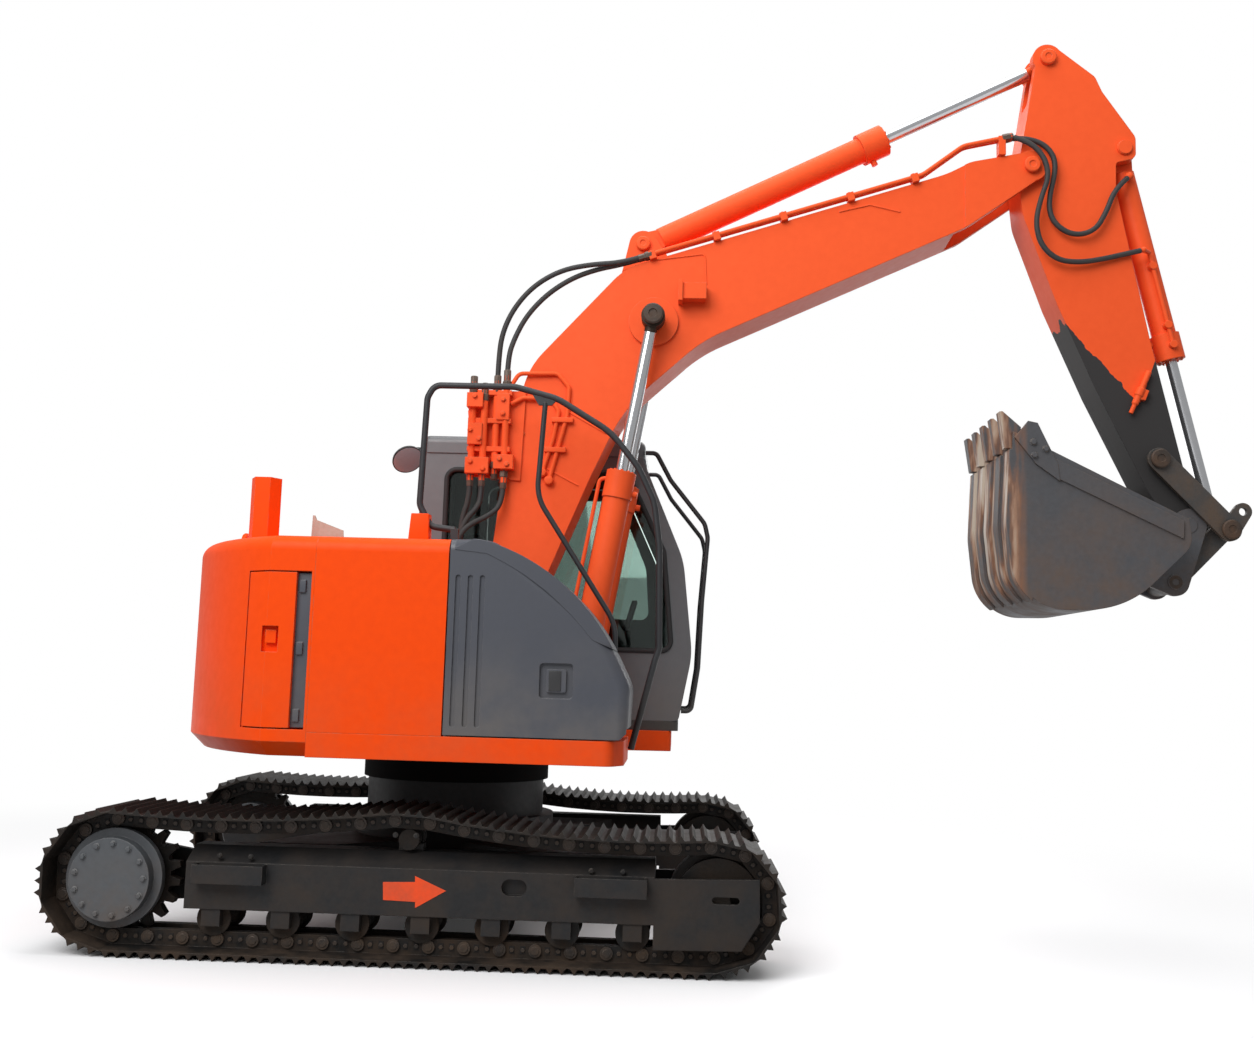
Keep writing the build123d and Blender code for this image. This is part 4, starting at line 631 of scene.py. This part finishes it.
# Rear of the counterweight: two lifting rings bent from rod and welded on top, in the same orange.
# Two lamps of red plastic are let into the tail.
lamp_red = weathered("lamp_red", (0.30, 0.003, 0.002), (0.24, 0.002, 0.002), (0.34, 0.01, 0.01), SOIL,
                     (-1.0, 0.3, 8.0), 0.002, 0.25, coat=0.05, specular=0.2)
TAIL_FACE, LAMP_ANGLE, LAMP_HEIGHT = 1.452, 0.16, 1.28
tail_lamps = bmesh.new()
for side in (-1, 1):
    angle = pi + side * LAMP_ANGLE
    middle = Vector((TAIL_FACE * cos(angle), TAIL_FACE * sin(angle), LAMP_HEIGHT))
    out = Vector((cos(angle), sin(angle), 0))
    flat = Vector((-sin(angle), cos(angle), 0))
    corners = [middle + flat * a * 0.07 + Vector((0, 0, b * 0.035)) for a, b in oblong(-1, -1, 1, 1)]
    lofted(tail_lamps, [[corner + out * depth for corner in corners] for depth in (-0.02, 0.003)])
shaped("tail_lamps", tail_lamps, lamp_red, "upper", bevel=0.004)
hoop = ((-0.06, 2.02), (-0.045, 2.09), (0.045, 2.09), (0.06, 2.02))
beads("lifting_rings", [[(-1.15, y + across, z) for across, z in hoop] for y in (-0.42, 0.42)], 0.04, 0.014, orange,
      "upper")

# Front cover: moulded sheet over the tank, satin slate grey. Its curved edge is a raised crown that ends in a crease.
# A rubber seal fills the joint to the engine panel, and the latch is a black paddle.
finish_nodes(slate, "front_cover")
crown_edge = [(0.147, 2.0205)] + arc_through((0.235, 2.0205), (0.300, 2.0125), (0.360, 1.992), 6)
crown_edge += arc_through((0.360, 1.992), (0.690, 1.800), (0.925, 1.507), 24) + [(0.925, 1.507)]
crease = arc_through((0.822, 1.549), (0.600, 1.770), (0.300, 1.950), 16) + [(0.300, 1.950), (0.147, 1.966)]
crown = bmesh.new()
slab(crown, crown_edge + crease, -1.2425, -0.7425)
crown.verts.index_update()
front = [edge for edge in crown.edges if all(vertex.index < len(crown_edge) for vertex in edge.verts)]
bmesh.ops.bevel(crown, geom=front, offset=0.045, segments=5, affect="EDGES", profile=0.5)
shaped("cover_crown", crown, slate, "front_cover")
plates("cover_latch", [(oblong(0.622, 1.302, 0.680, 1.398), -1.2395, -1.2345)], black, "front_cover",
       bevel=0.002)
rubber = weathered("seal_rubber", (0.012, 0.012, 0.013), (0.018, 0.018, 0.019), (0.03, 0.03, 0.03), SOIL,
                   (-0.5, 0.9, 6.0), 0.002, 0.75)
beads("cover_seal", [[(0.121, -1.205, 1.085), (0.121, -1.205, 2.014), (0.121, -0.745, 2.014)]], 0.01, 0.0036, rubber,
      "upper")

# Cab: grey welded shell, roof and door, black floor and fittings, green-tinted panes in rubber seals.
# The roof has pressed ribs. Bent steel levers with rubber knobs and a screen on a stalk stand before the seat.
cab_grey = weathered("cab_grey", (0.115, 0.118, 0.125), (0.095, 0.098, 0.104), (0.2, 0.2, 0.2), (0.14, 0.12, 0.10),
                     (0.8, 1.6, 2.5), 0.006, 0.42, coat=0.15)
finish_nodes(cab_grey, "cab_shell", "cab_roof", "cab_door")
finish_nodes(black, "cab_rails", "cab_floor", "seat_base", "consoles")
rail_paint = weathered("rail_paint", (0.026, 0.027, 0.030), (0.018, 0.019, 0.021), (0.11, 0.10, 0.095),
                       (0.10, 0.08, 0.06), (0.6, 1.4, 3.0), 0.004, 0.45, specular=0.35)
finish_nodes(rail_paint, "right_rail")


def tinted_glass():
    """Thin green-tinted pane that shows the inside and mirrors the room a little."""
    material, tree, shader = surface("tinted_glass", {"Roughness": 0.03, "IOR": 1.45, "Transmission Weight": 1.0})
    place = node(tree, "TexCoord")
    film = node(tree, "TexNoise", {"Scale": 3.0, "Detail": 5})
    tint = node(tree, "Mix", {"A": (0.27, 0.35, 0.32, 1), "B": (0.34, 0.42, 0.39, 1)}, data_type="RGBA")
    wire(tree, (place, "Object", film, "Vector"), (film, "Fac", tint, "Factor"), (tint, "Result", shader, "Base Color"))
    return material


glass = tinted_glass()
finish_nodes(glass, "cab_glass", "door_glass")
side_window = ((-0.190, 1.540), (-0.190, 2.600), (0.905, 2.600), (1.135, 2.130), (1.195, 1.540))
beads("side_seal", [[(x, 0.299, z) for x, z in side_window]], 0.06, 0.016, rubber, "upper", closed=True)
grip = [(0.10, y, z) for y, z in ((1.238, 1.52), (1.285, 1.52), (1.285, 1.40), (1.238, 1.40))]
beads("door_grip", [grip], 0.015, 0.010, black, "cab_door")
rib = ((-0.24, 2.8105), (0.86, 2.8105), (0.82, 2.826), (-0.20, 2.826))
plates("roof_ribs", [(rib, y - 0.03, y + 0.03) for y in (0.48, 0.77, 1.06)], cab_grey, "upper",
       bevel=0.004)
HAND_LEVERS, FOOT_LEVERS = (0.448, 1.088), (0.71, 0.83)    # their y
levers = [[(0.48, y, 1.640), (0.50, y, 1.76), (0.49, y, 1.84)] for y in HAND_LEVERS]
levers += [[(0.86, y, 1.19), (0.88, y, 1.40), (0.80, y, 1.72)] for y in FOOT_LEVERS]
beads("control_levers", levers, 0.03, 0.011, black, "upper")


def turned(mesh, profile, centre, facing, sides=28):
    """Add a turned form to a bmesh: profile rows are (radius, height) along the facing axis."""
    axis = Vector(facing).normalized()
    lofted(mesh, [circle(Vector(centre) + axis * height, facing, radius, sides) for radius, height in profile])


knobs = bmesh.new()
for y in HAND_LEVERS:
    turned(knobs, ((0.012, 0.0), (0.022, 0.012), (0.026, 0.05), (0.022, 0.085), (0.010, 0.098)), (0.491, y, 1.825),
           (-0.1, 0, 1))
for y in FOOT_LEVERS:
    turned(knobs, ((0.012, 0.0), (0.019, 0.01), (0.020, 0.05), (0.010, 0.062)), (0.805, y, 1.70), (-0.25, 0, 1))
shaped("lever_knobs", knobs, rubber, "upper")
screen = ((0.90, 1.66), (0.93, 1.66), (0.98, 1.84), (0.95, 1.84))
plates("monitor", [(screen, 0.38, 0.58), (oblong(0.915, 1.185, 0.945, 1.665), 0.46, 0.50)], black, "upper",
       bevel=0.006)

# Mirror: round glass in a moulded black shell, tilted down over the hood.
# A bent steel rod carries it, clamped to the cab's rear post.
# The mirror's face is a painted reflection: mostly matt pale blue-grey in place of the sky it would mirror.
mirror_painted_reflection = weathered("mirror_painted_reflection", (0.42, 0.56, 0.62), (0.36, 0.48, 0.54), (0.5, 0.5, 0.5), SOIL,
                          (-1.0, 0.2, 6.0), 0.002, 0.22, metallic=0.1)
MIRROR, MIRROR_WAY, MIRROR_SIDES = (-0.590, 1.020, 2.775), (0.42, -0.62, -0.66), 40
shell = bmesh.new()
turned(shell, ((0.030, -0.040), (0.070, -0.032), (0.100, -0.012), (0.104, 0.0), (0.104, 0.008), (0.098, 0.008)),
       MIRROR, MIRROR_WAY, MIRROR_SIDES)
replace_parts(shaped("mirror_shell", shell, black, "upper"), "mirror")
face = bmesh.new()
turned(face, ((0.097, 0.006), (0.097, 0.0085), (0.080, 0.0105), (0.045, 0.0125), (0.008, 0.0135)), MIRROR, MIRROR_WAY,
       MIRROR_SIDES)
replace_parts(shaped("mirror_glass", face, mirror_painted_reflection, "upper"), "mirror")
bent = [(-0.362, 1.020, 2.760), (-0.430, 1.020, 2.850), (-0.560, 1.030, 2.850), (-0.602, 1.036, 2.793)]
rod = beads("mirror_rod", [bent], 0.04, 0.009, black, "upper")
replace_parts(rod, "mirror")

# Seat: foam pads under woven black fabric, on a steel base. Each pad is crowned and has two sewn channels,
# and its sides pull in between the corners.
fabric = weathered("seat_fabric", (0.022, 0.022, 0.025), (0.040, 0.040, 0.043), (0.05, 0.05, 0.05),
                   (0.05, 0.05, 0.05), (-1.0, 0.5, 60.0), 0.004, 0.85, bump=0.4)


def cushion(name, node_name, crown_axis):
    """Crowned pad in the place of a plain solid; crown_axis is the direction it faces."""
    low, high = (Vector(corner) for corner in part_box(node_name))
    middle, half = (low + high) / 2, (high - low) / 2
    mesh = bmesh.new()
    bmesh.ops.create_cube(mesh, size=2.0)
    bmesh.ops.subdivide_edges(mesh, edges=mesh.edges, cuts=15, use_grid_fill=True)
    others = [k for k in range(3) if k != crown_axis]
    roundness, crown_rise, face_pull, side_pull = 6, 0.10, 0.03, 0.02
    channel, channel_depth, channel_half = 0.45, 0.06, 0.05
    for vertex in mesh.verts:
        u = vertex.co.copy()
        power = sum(abs(part) ** roundness for part in u) ** (1 / roundness)
        u = u / power
        a, b = u[others[0]], u[others[1]]
        swell = (1 - a * a) * (1 - b * b)
        if abs(u[crown_axis]) > 0.5:
            u[crown_axis] *= 1 - crown_rise + crown_rise * swell
            groove = min(abs(b - line) for line in (-channel, channel))
            u[crown_axis] -= channel_depth * max(0.0, 1 - groove / channel_half) * (1 if u[crown_axis] > 0 else -1)
        pull = 1 - face_pull * (1 - u[crown_axis] ** 2)
        u[others[0]] *= pull - side_pull * (1 - b * b)
        u[others[1]] *= pull - side_pull * (1 - a * a)
        vertex.co = middle + Vector((u.x * half.x, u.y * half.y, u.z * half.z))
    piece = shaped(name, mesh, fabric, "upper")
    smooth = piece.modifiers.new("soften", "SUBSURF")
    smooth.levels = 1
    smooth.render_levels = 1
    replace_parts(piece, node_name)


cushion("seat_pad", "seat_cushion", 2)
cushion("seat_back_pad", "seat_back", 0)

# Boom: bent box welded from steel plate, in a slightly faded orange, with weld beads and capped pins.
# Oil pipes in bolted clamps run along its top to the hose manifold at its foot; a work lamp sits on its side.
BOOM_ORANGE, BOOM_SHADE = (0.92, 0.115, 0.030), (0.85, 0.096, 0.024)
boom_orange = orange_gloss("boom_orange", BOOM_ORANGE, BOOM_SHADE)
finish_nodes(boom_orange, "boom", "boom_pipes", "boom_manifold", "boom_lamp")
pin_dark = weathered("pin_dark", (0.050, 0.036, 0.028), (0.020, 0.017, 0.015), (0.16, 0.11, 0.08),
                     (0.12, 0.06, 0.03), (0.0, 6.0, 7.0), 0.003, 0.55, metallic=0.3, bump=0.4)
BOOM_MIDDLE, BOOM_HALF = -0.110, 0.170
# each cylinder's base pin and rod eye, as (x, z)
BOOM_RAM = (0.690, 1.260), (1.051, 3.377)
ARM_RAM = (0.977, 3.861), (3.282, 4.994)
BUCKET_RAM = (3.711, 4.460), (4.220, 2.269)
PIN_CAP = ((0.046, 0.0), (0.046, 0.010), (0.040, 0.015), (0.020, 0.016), (0.017, 0.011), (0.004, 0.011))


def pin_caps(name, places, finish, body):
    """Turned caps on both ends of cross pins; places are ((x, z), half length, size)."""
    mesh = bmesh.new()
    for (x, z), half, size in places:
        for side in (-1, 1):
            profile = [(radius * size, height * size) for radius, height in PIN_CAP]
            turned(mesh, profile, (x, BOOM_MIDDLE + side * (half - 0.001), z), (0, side, 0))
    return shaped(name, mesh, finish, body)


boom_face = BOOM_MIDDLE - BOOM_HALF
pipe_y = boom_face - 0.0135
pipe_ends = ((0.490, 2.455), (0.450, 2.500))
outer_pipe = [(0.262, -0.318, 2.985), (0.302, -0.304, 3.060)]
outer_pipe += [(x, pipe_y, z) for x, z in (
    (0.520, 3.066), (0.586, 2.990), (0.580, 2.829), (0.546, 2.686), pipe_ends[0])]
inner_pipe = [(0.262, -0.318, 2.880), (0.330, -0.304, 2.921)]
inner_pipe += [(x, pipe_y, z) for x, z in ((0.490, 2.918), (0.532, 2.850), (0.505, 2.690), pipe_ends[1])]
beads("manifold_pipes", [outer_pipe, inner_pipe], 0.045, 0.0125, boom_orange, "boom")
holders = bmesh.new()
for x, z in ((0.555, 2.800), (0.520, 2.630)):
    slab(holders, oblong(x - 0.060, z - 0.014, x + 0.060, z + 0.014), boom_face - 0.030, boom_face - 0.0005)
for x, z in pipe_ends:
    turned(holders, ((0.026, 0.0005), (0.026, 0.030), (0.020, 0.036), (0.008, 0.037)), (x, boom_face, z), (0, -1, 0),
           20)
shaped("pipe_holders", holders, boom_orange, "boom", bevel=0.002)
welds = (((0.462, 2.532), (0.655, 2.433)), ((0.592, 2.848), (0.800, 2.733)),
         ((1.040, 3.739), (1.163, 3.757), (1.333, 3.781), (1.345, 3.600)),
         ((2.089, 4.041), (2.264, 4.085), (2.434, 4.046)))
beads("boom_welds", [[(x, boom_face - 0.001, z) for x, z in line] for line in welds], 0.02, 0.005, boom_orange, "boom")
pin_caps("boom_pins", (((3.174, 4.328), 0.195, 1.0), (ARM_RAM[0], 0.104, 0.9)), boom_orange, "boom")
clamp_up = Vector((-0.306, 0, 0.952))
seats = [(Vector((0.985 + 1.575 * share, -0.278, 3.757 + 0.506 * share)) + clamp_up * 0.017, clamp_up)
         for share in (0.03, 0.26, 0.5, 0.74, 0.97)]
bolts("clamp_bolts", seats, 0.009, boom_orange, "boom")
seats = [((x, -0.2805, z), (0, -1, 0)) for x, z in ((0.31, 2.50), (0.33, 2.72), (0.34, 2.92))]
seats += [((x, y - 0.292 - 0.0005, z), (0, -1, 0)) for x, z, y in (
    (0.07, 2.91, -0.09), (0.05, 2.72, -0.08), (0.10, 2.67, -0.08), (0.06, 2.54, -0.095), (0.13, 2.50, -0.095),
    (0.22, 2.56, -0.08), (0.26, 2.53, -0.08), (0.225, 2.90, -0.06), (0.225, 2.82, -0.06))]
bolts("manifold_bolts", seats, 0.012, boom_orange, "boom")
fitting_steel = weathered("fitting_steel", (0.16, 0.13, 0.11), (0.08, 0.06, 0.05), (0.3, 0.28, 0.26),
                          (0.14, 0.06, 0.03), (0.0, 6.0, 9.0), 0.002, 0.45, metallic=0.7, bump=0.2)
STUB = ((0.021, -0.07), (0.025, -0.062), (0.025, -0.034), (0.0205, -0.030), (0.0205, 0.028), (0.018, 0.032))
fittings = bmesh.new()
# stub rows: x, y, bottom, top
for x, y, low, high in ((0.055, -0.3353, 2.440, 3.000), (0.120, -0.3403, 2.440, 2.960),
                        (0.185, -0.3203, 2.480, 3.010), (0.240, -0.3303, 2.430, 3.040)):
    turned(fittings, STUB, (x, y, low), (0, 0, -1), 6)
    turned(fittings, STUB, (x, y, high), (0, 0, 1), 8)
for y in (-0.262, -0.294):
    turned(fittings, ((0.015, -0.05), (0.021, -0.045), (0.021, -0.012), (0.017, -0.008), (0.017, 0.03)),
           (0.985, y, 3.757), (-0.952, 0, -0.306), 6)
    turned(fittings, ((0.015, -0.05), (0.021, -0.045), (0.021, -0.014), (0.019, 0.012)), (3.055, y, 4.496),
           (0.976, 0, 0.219), 6)
shaped("hose_fittings", fittings, fitting_steel, "boom")
lens = weathered("lamp_lens", (0.55, 0.55, 0.52), (0.45, 0.45, 0.43), (0.6, 0.6, 0.6), SOIL, (-1.0, 0.2, 20.0), 0.002,
                 0.12, coat=0.6)
plates("lamp_lens", [(oblong(1.334, 3.506, 1.342, 3.574), -0.3595, -0.2911)], lens, "boom", bevel=0.002)

# Hoses: wire-braided rubber, black, crimped into steel ends. They lead from the hood to the manifold, from there to
# the boom's pipes, and from the pipes' ends in loops to the bucket cylinder.
hose_rubber = weathered("hose_rubber", (0.014, 0.014, 0.015), (0.022, 0.022, 0.023), (0.04, 0.04, 0.04),
                        (0.05, 0.045, 0.04), (-1.0, 9.0, 12.0), 0.002, 0.6, bump=0.3)
HOSE_DIAMETER = 0.030


def hose(name, route):
    """Hose along the smooth line of a route."""
    curve = bpy.data.curves.new(name + "_route", "CURVE")
    curve.dimensions = "3D"
    curve.resolution_u = 12
    spline = curve.splines.new("NURBS")
    spline.points.add(len(route) - 1)
    for point, place in zip(spline.points, route):
        point.co = (*place, 1)
    spline.order_u = 3
    spline.use_endpoint_u = True
    holder = bpy.data.objects.new(name + "_route", curve)
    bpy.context.scene.collection.objects.link(holder)
    graph = bpy.context.evaluated_depsgraph_get()
    line = bpy.data.meshes.new_from_object(holder.evaluated_get(graph), depsgraph=graph)
    curve.bevel_depth = HOSE_DIAMETER / 2
    curve.bevel_resolution = 3
    curve.use_fill_caps = True
    graph.update()
    data = bpy.data.meshes.new_from_object(holder.evaluated_get(graph), depsgraph=graph)
    bpy.data.objects.remove(holder)
    data.materials.clear()
    data.materials.append(hose_rubber)
    smoothed(data, 60)
    piece = bpy.data.objects.new(name, data)
    bpy.context.scene.collection.objects.link(piece)
    return piece


# each arm hose is split after this many points of its route
SPLIT = 8
# arm rows: name, route, end of the bend across the arm's pin
for name, route, bend_end in (
        ("arm_hose_upper", (
            (3.0733, -0.262, 4.497), (3.160, -0.262, 4.502), (3.268, -0.278, 4.448), (3.318, -0.284, 4.335),
            (3.262, -0.286, 4.112), (3.290, -0.286, 3.992), (3.398, -0.286, 3.919), (3.523, -0.285, 3.948),
            (3.590, -0.284, 4.064), (3.640, -0.280, 4.200), (3.7315, -0.2168, 4.2889)), (3.38, -0.28, 3.95)),
        ("arm_hose_lower", (
            (3.072, -0.2972, 4.4899), (3.150, -0.312, 4.462), (3.232, -0.322, 4.376), (3.262, -0.322, 4.255),
            (3.215, -0.318, 4.125), (3.185, -0.312, 3.985), (3.215, -0.306, 3.855), (3.310, -0.296, 3.772),
            (3.440, -0.282, 3.766), (3.560, -0.270, 3.790), (3.675, -0.263, 3.820), (3.7833, -0.2622, 3.8476)),
         (3.45, -0.28, 3.85))):
    joint = tuple((Vector(route[SPLIT - 1]) + Vector(route[SPLIT])) / 2)
    piece = hose(name, route[:SPLIT] + (joint,))
    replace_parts(piece, "arm_hoses")
    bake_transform(piece)
    piece = hose(name + "_end", (joint,) + route[SPLIT:])
    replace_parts(piece, "arm_hoses")
    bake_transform(piece)
for name, route in (
        ("boom_hose_inner", (
            (0.240, -0.3303, 3.0403), (0.240, -0.3303, 3.150), (0.268, -0.308, 3.262), (0.330, -0.290, 3.400),
            (0.440, -0.280, 3.530), (0.580, -0.272, 3.630), (0.725, -0.264, 3.688), (0.862, -0.262, 3.7174),
            (0.9845, -0.262, 3.7568))),
        ("boom_hose_outer", (
            (0.185, -0.3203, 3.0103), (0.185, -0.3203, 3.140), (0.200, -0.325, 3.290), (0.262, -0.318, 3.440),
            (0.372, -0.310, 3.575), (0.525, -0.304, 3.668), (0.700, -0.298, 3.705), (0.862, -0.294, 3.7174),
            (0.9845, -0.294, 3.7568)))):
    piece = hose(name, route)
    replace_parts(piece, "boom_hoses")
    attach(piece, "boom")
for name, route in (
        ("foot_hose_right", (
            (0.014, -0.440, 2.0203), (0.014, -0.440, 2.110), (0.080, -0.415, 2.190), (0.165, -0.370, 2.235),
            (0.240, -0.3303, 2.310), (0.240, -0.3303, 2.4297))),
        ("foot_hose_middle", (
            (0.014, -0.390, 2.0203), (0.014, -0.390, 2.120), (0.052, -0.385, 2.220), (0.104, -0.362, 2.285),
            (0.120, -0.3403, 2.340), (0.120, -0.3403, 2.4397))),
        ("foot_hose_left", (
            (0.014, -0.3353, 2.0203), (0.014, -0.3353, 2.140), (0.024, -0.3353, 2.240), (0.055, -0.3353, 2.340),
            (0.055, -0.3353, 2.4397)))):
    piece = hose(name, route)
    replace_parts(piece, "foot_hoses")
    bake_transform(piece)

# Cylinders: steel barrels in the boom's orange with bolted glands, and a pipe along each of the boom's pair.
# The rods are hard-chromed, with a forged eye at the pin.
finish_nodes(boom_orange, "boom_barrels", "arm_barrel", "bucket_barrel")


def near_pin_group():
    """Mask that is 1 within reach of a cross pin."""
    group, given, made, _, axes = shader_group("near_pin", {"Pin X": 0.0, "Pin Z": 0.0, "Reach": 0.0})
    here, pin = node(group, "CombineXYZ"), node(group, "CombineXYZ")
    far = node(group, "VectorMath", operation="DISTANCE")
    inside = node(group, "Math", operation="LESS_THAN")
    wire(group, (axes, "X", here, "X"), (axes, "Z", here, "Z"), (given, "Pin X", pin, "X"), (given, "Pin Z", pin, "Z"),
         (here, 0, far, 0), (pin, 0, far, 1), (far, "Value", inside, 0), (given, "Reach", inside, 1),
         (inside, 0, made, "Mask"))
    return group


near_pin = near_pin_group()
# rod rows: node, its eye, reach of the eye's paint, its colour
for name, (x, z), reach, eye_colour in (
        ("boom_rods", BOOM_RAM[1], 0.095, (0.045, 0.032, 0.025)), ("arm_rod", ARM_RAM[1], 0.10, (0.55, 0.07, 0.015)),
        ("bucket_rod", BUCKET_RAM[1], 0.095, (0.040, 0.038, 0.036))):
    chrome = weathered(name + "_chrome", (0.62, 0.63, 0.65), (0.55, 0.56, 0.58), (0.6, 0.6, 0.6), (0.3, 0.3, 0.3),
                       (-1.0, 0.2, 6.0), 0.003, 0.16, metallic=0.9)
    paint_over(chrome, near_pin, {"Pin X": x, "Pin Z": z, "Reach": reach}, eye_colour, 0.55)
    finish_nodes(chrome, name)
pin_caps("boom_ram_pins", ((BOOM_RAM[1], 0.350, 1.25),), pin_dark, "boom_rods")


def ram_way(base, eye):
    """Direction of a cylinder from its base pin to its rod eye."""
    return Vector((eye[0] - base[0], 0, eye[1] - base[1])).normalized()


BOOM_RAM_MIDDLES = (-0.385, 0.165)
way = ram_way(*BOOM_RAM)
outwards = Vector((-way.z, 0, way.x))
ram_pipes = []
for y in BOOM_RAM_MIDDLES:
    foot = Vector((BOOM_RAM[0][0], y, BOOM_RAM[0][1]))
    ram_pipes.append([foot + way * along + outwards * out for along, out in (
        (1.205, 0.070), (1.205, 0.112), (0.340, 0.112), (0.300, 0.070))])
beads("boom_ram_pipes", ram_pipes, 0.03, 0.011, boom_orange, "boom_barrels")
GLAND_BOLTS, GLAND_START = 10, 0.2
# gland rows: name, cylinder, its middles, distance of the gland's face, bolt circle, bolt size, body
for name, ram, middles, distance, radius, size, body in (
        ("boom_gland_bolts", BOOM_RAM, BOOM_RAM_MIDDLES, 1.2545, 0.062, 0.008, "boom_barrels"),
        ("arm_gland_bolts", ARM_RAM, (BOOM_MIDDLE,), 1.5445, 0.072, 0.009, "arm_barrel"),
        ("bucket_gland_bolts", BUCKET_RAM, (BOOM_MIDDLE,), 1.2395, 0.062, 0.008, "bucket_barrel")):
    way = ram_way(*ram)
    seats = []
    for y in middles:
        seats += ring(Vector((ram[0][0], y, ram[0][1])) + way * distance, way, radius, GLAND_BOLTS, GLAND_START)
    bolts(name, seats, size, boom_orange, body)

# Arm: welded box, orange above and bare dark paint below, where the new coat ends in a ragged edge.
# A pipe coupling with a cap is welded to its right side.
arm_paint = orange_gloss("arm_paint", BOOM_ORANGE, BOOM_SHADE)


def dark_tip_group():
    """Mask of the arm's dark lower end: under two slanting lines that meet in a point, with a ragged edge."""
    group, given, made, place, axes = shader_group("dark_tip", {"Ragged": 0.0})
    upper = node(group, "Math", operation="MAXIMUM")
    # slant rows: slope, height where x is zero
    for k, (slope, height) in enumerate(((-1.13, 7.169), (2.83, -7.760))):
        slant = node(group, "Math", {1: slope, 2: height}, operation="MULTIPLY_ADD")
        wire(group, (axes, "X", slant, 0), (slant, 0, upper, k))
    noise = node(group, "TexNoise", {"Scale": 9.0, "Detail": 5})
    ragged = node(group, "Math", operation="MULTIPLY_ADD")
    below = node(group, "Math", operation="LESS_THAN")
    wire(group, (place, "Object", noise, "Vector"), (noise, "Fac", ragged, 0), (given, "Ragged", ragged, 1),
         (upper, 0, ragged, 2), (axes, "Z", below, 0), (ragged, 0, below, 1), (below, 0, made, "Mask"))
    return group


paint_over(arm_paint, dark_tip_group(), {"Ragged": 0.12}, (0.042, 0.040, 0.040), 0.5)
finish_nodes(arm_paint, "arm")
coupling = bmesh.new()
turned(coupling, ((0.016, 0.0), (0.016, 0.10), (0.024, 0.11), (0.024, 0.15), (0.019, 0.155), (0.019, 0.20),
                  (0.012, 0.21), (0.012, 0.26)), (3.815, -0.264, 3.150), (-0.40, 0, -0.917), 20)
slab(coupling, ((3.735, 2.995), (3.790, 2.985), (3.812, 3.040), (3.757, 3.060)), -0.275, -0.2395)
shaped("arm_coupling", coupling, boom_orange, "arm", bevel=0.002)
pin_caps("arm_pins", ((ARM_RAM[1], 0.148, 1.0), (BUCKET_RAM[0], 0.131, 0.95)), boom_orange, "arm")
pin_caps("guide_pins", (((3.847, 2.651), 0.2135, 1.15),), pin_dark, "arm")

# Bucket and its links: welded steel in dark grey paint, with bolted side cutters and capped pins.
# Wear strips, lip and teeth are scraped to pale steel and streaked with rust.
bucket_grey = weathered("bucket_grey", (0.075, 0.077, 0.085), (0.050, 0.050, 0.055), (0.16, 0.12, 0.09),
                        (0.13, 0.075, 0.045), (1.3, 2.7, 4.5), 0.006, 0.5, bump=0.25)


def floor_wear_group():
    """Mask of the bucket's worn floor: upright streaks that thicken towards the cutting edge."""
    group, given, made, place, axes = shader_group("floor_wear", {"From X": 0.0, "To X": 0.0, "Level": 0.0})
    near = node(group, "MapRange")
    stretch = node(group, "Mapping", {"Scale": (9, 11, 1.6)})
    noise = node(group, "TexNoise", {"Scale": 1.0, "Detail": 6})
    streak = node(group, "MapRange", {"To Min": 0})
    soft = node(group, "Math", {1: 0.12}, operation="ADD")
    both = node(group, "Math", operation="MULTIPLY")
    wire(group, (axes, "X", near, "Value"), (given, "From X", near, "From Min"), (given, "To X", near, "From Max"),
         (place, "Object", stretch, "Vector"), (stretch, "Vector", noise, "Vector"), (noise, "Fac", streak, "Value"),
         (given, "Level", streak, "From Min"), (given, "Level", soft, 0), (soft, 0, streak, "From Max"),
         (near, "Result", both, 0), (streak, "Result", both, 1), (both, 0, made, "Mask"))
    return group


floor_wear = floor_wear_group()
paint_over(bucket_grey, floor_wear, {"From X": 3.06, "To X": 2.99, "Level": 0.42}, (0.30, 0.115, 0.040), 0.7)
paint_over(bucket_grey, floor_wear, {"From X": 3.02, "To X": 2.975, "Level": 0.48}, (0.50, 0.43, 0.35), 0.45)
finish_nodes(bucket_grey, "bucket", "bucket_teeth")
link_steel = weathered("link_steel", (0.046, 0.045, 0.045), (0.028, 0.027, 0.026), (0.15, 0.11, 0.08),
                       (0.10, 0.06, 0.035), (1.0, 5.0, 6.0), 0.005, 0.5, bump=0.3)
finish_nodes(link_steel, "guide_links", "push_link")
CUTTER_FACE = 0.4865
seats = [((x, BOOM_MIDDLE + side * CUTTER_FACE, z), (0, side, 0)) for side in (-1, 1)
         for x, z in ((3.085, 2.675), (3.150, 2.640), (3.090, 2.605))]
bolts("cutter_bolts", seats, 0.015, bucket_grey, "bucket")
pin_caps("bucket_pins", (((4.016, 2.292), 0.155, 0.9), ((3.932, 1.978), 0.158, 0.9)), pin_dark, "bucket")
pin_caps("link_pins", ((BUCKET_RAM[1], 0.2135, 1.15),), pin_dark, "guide_links")
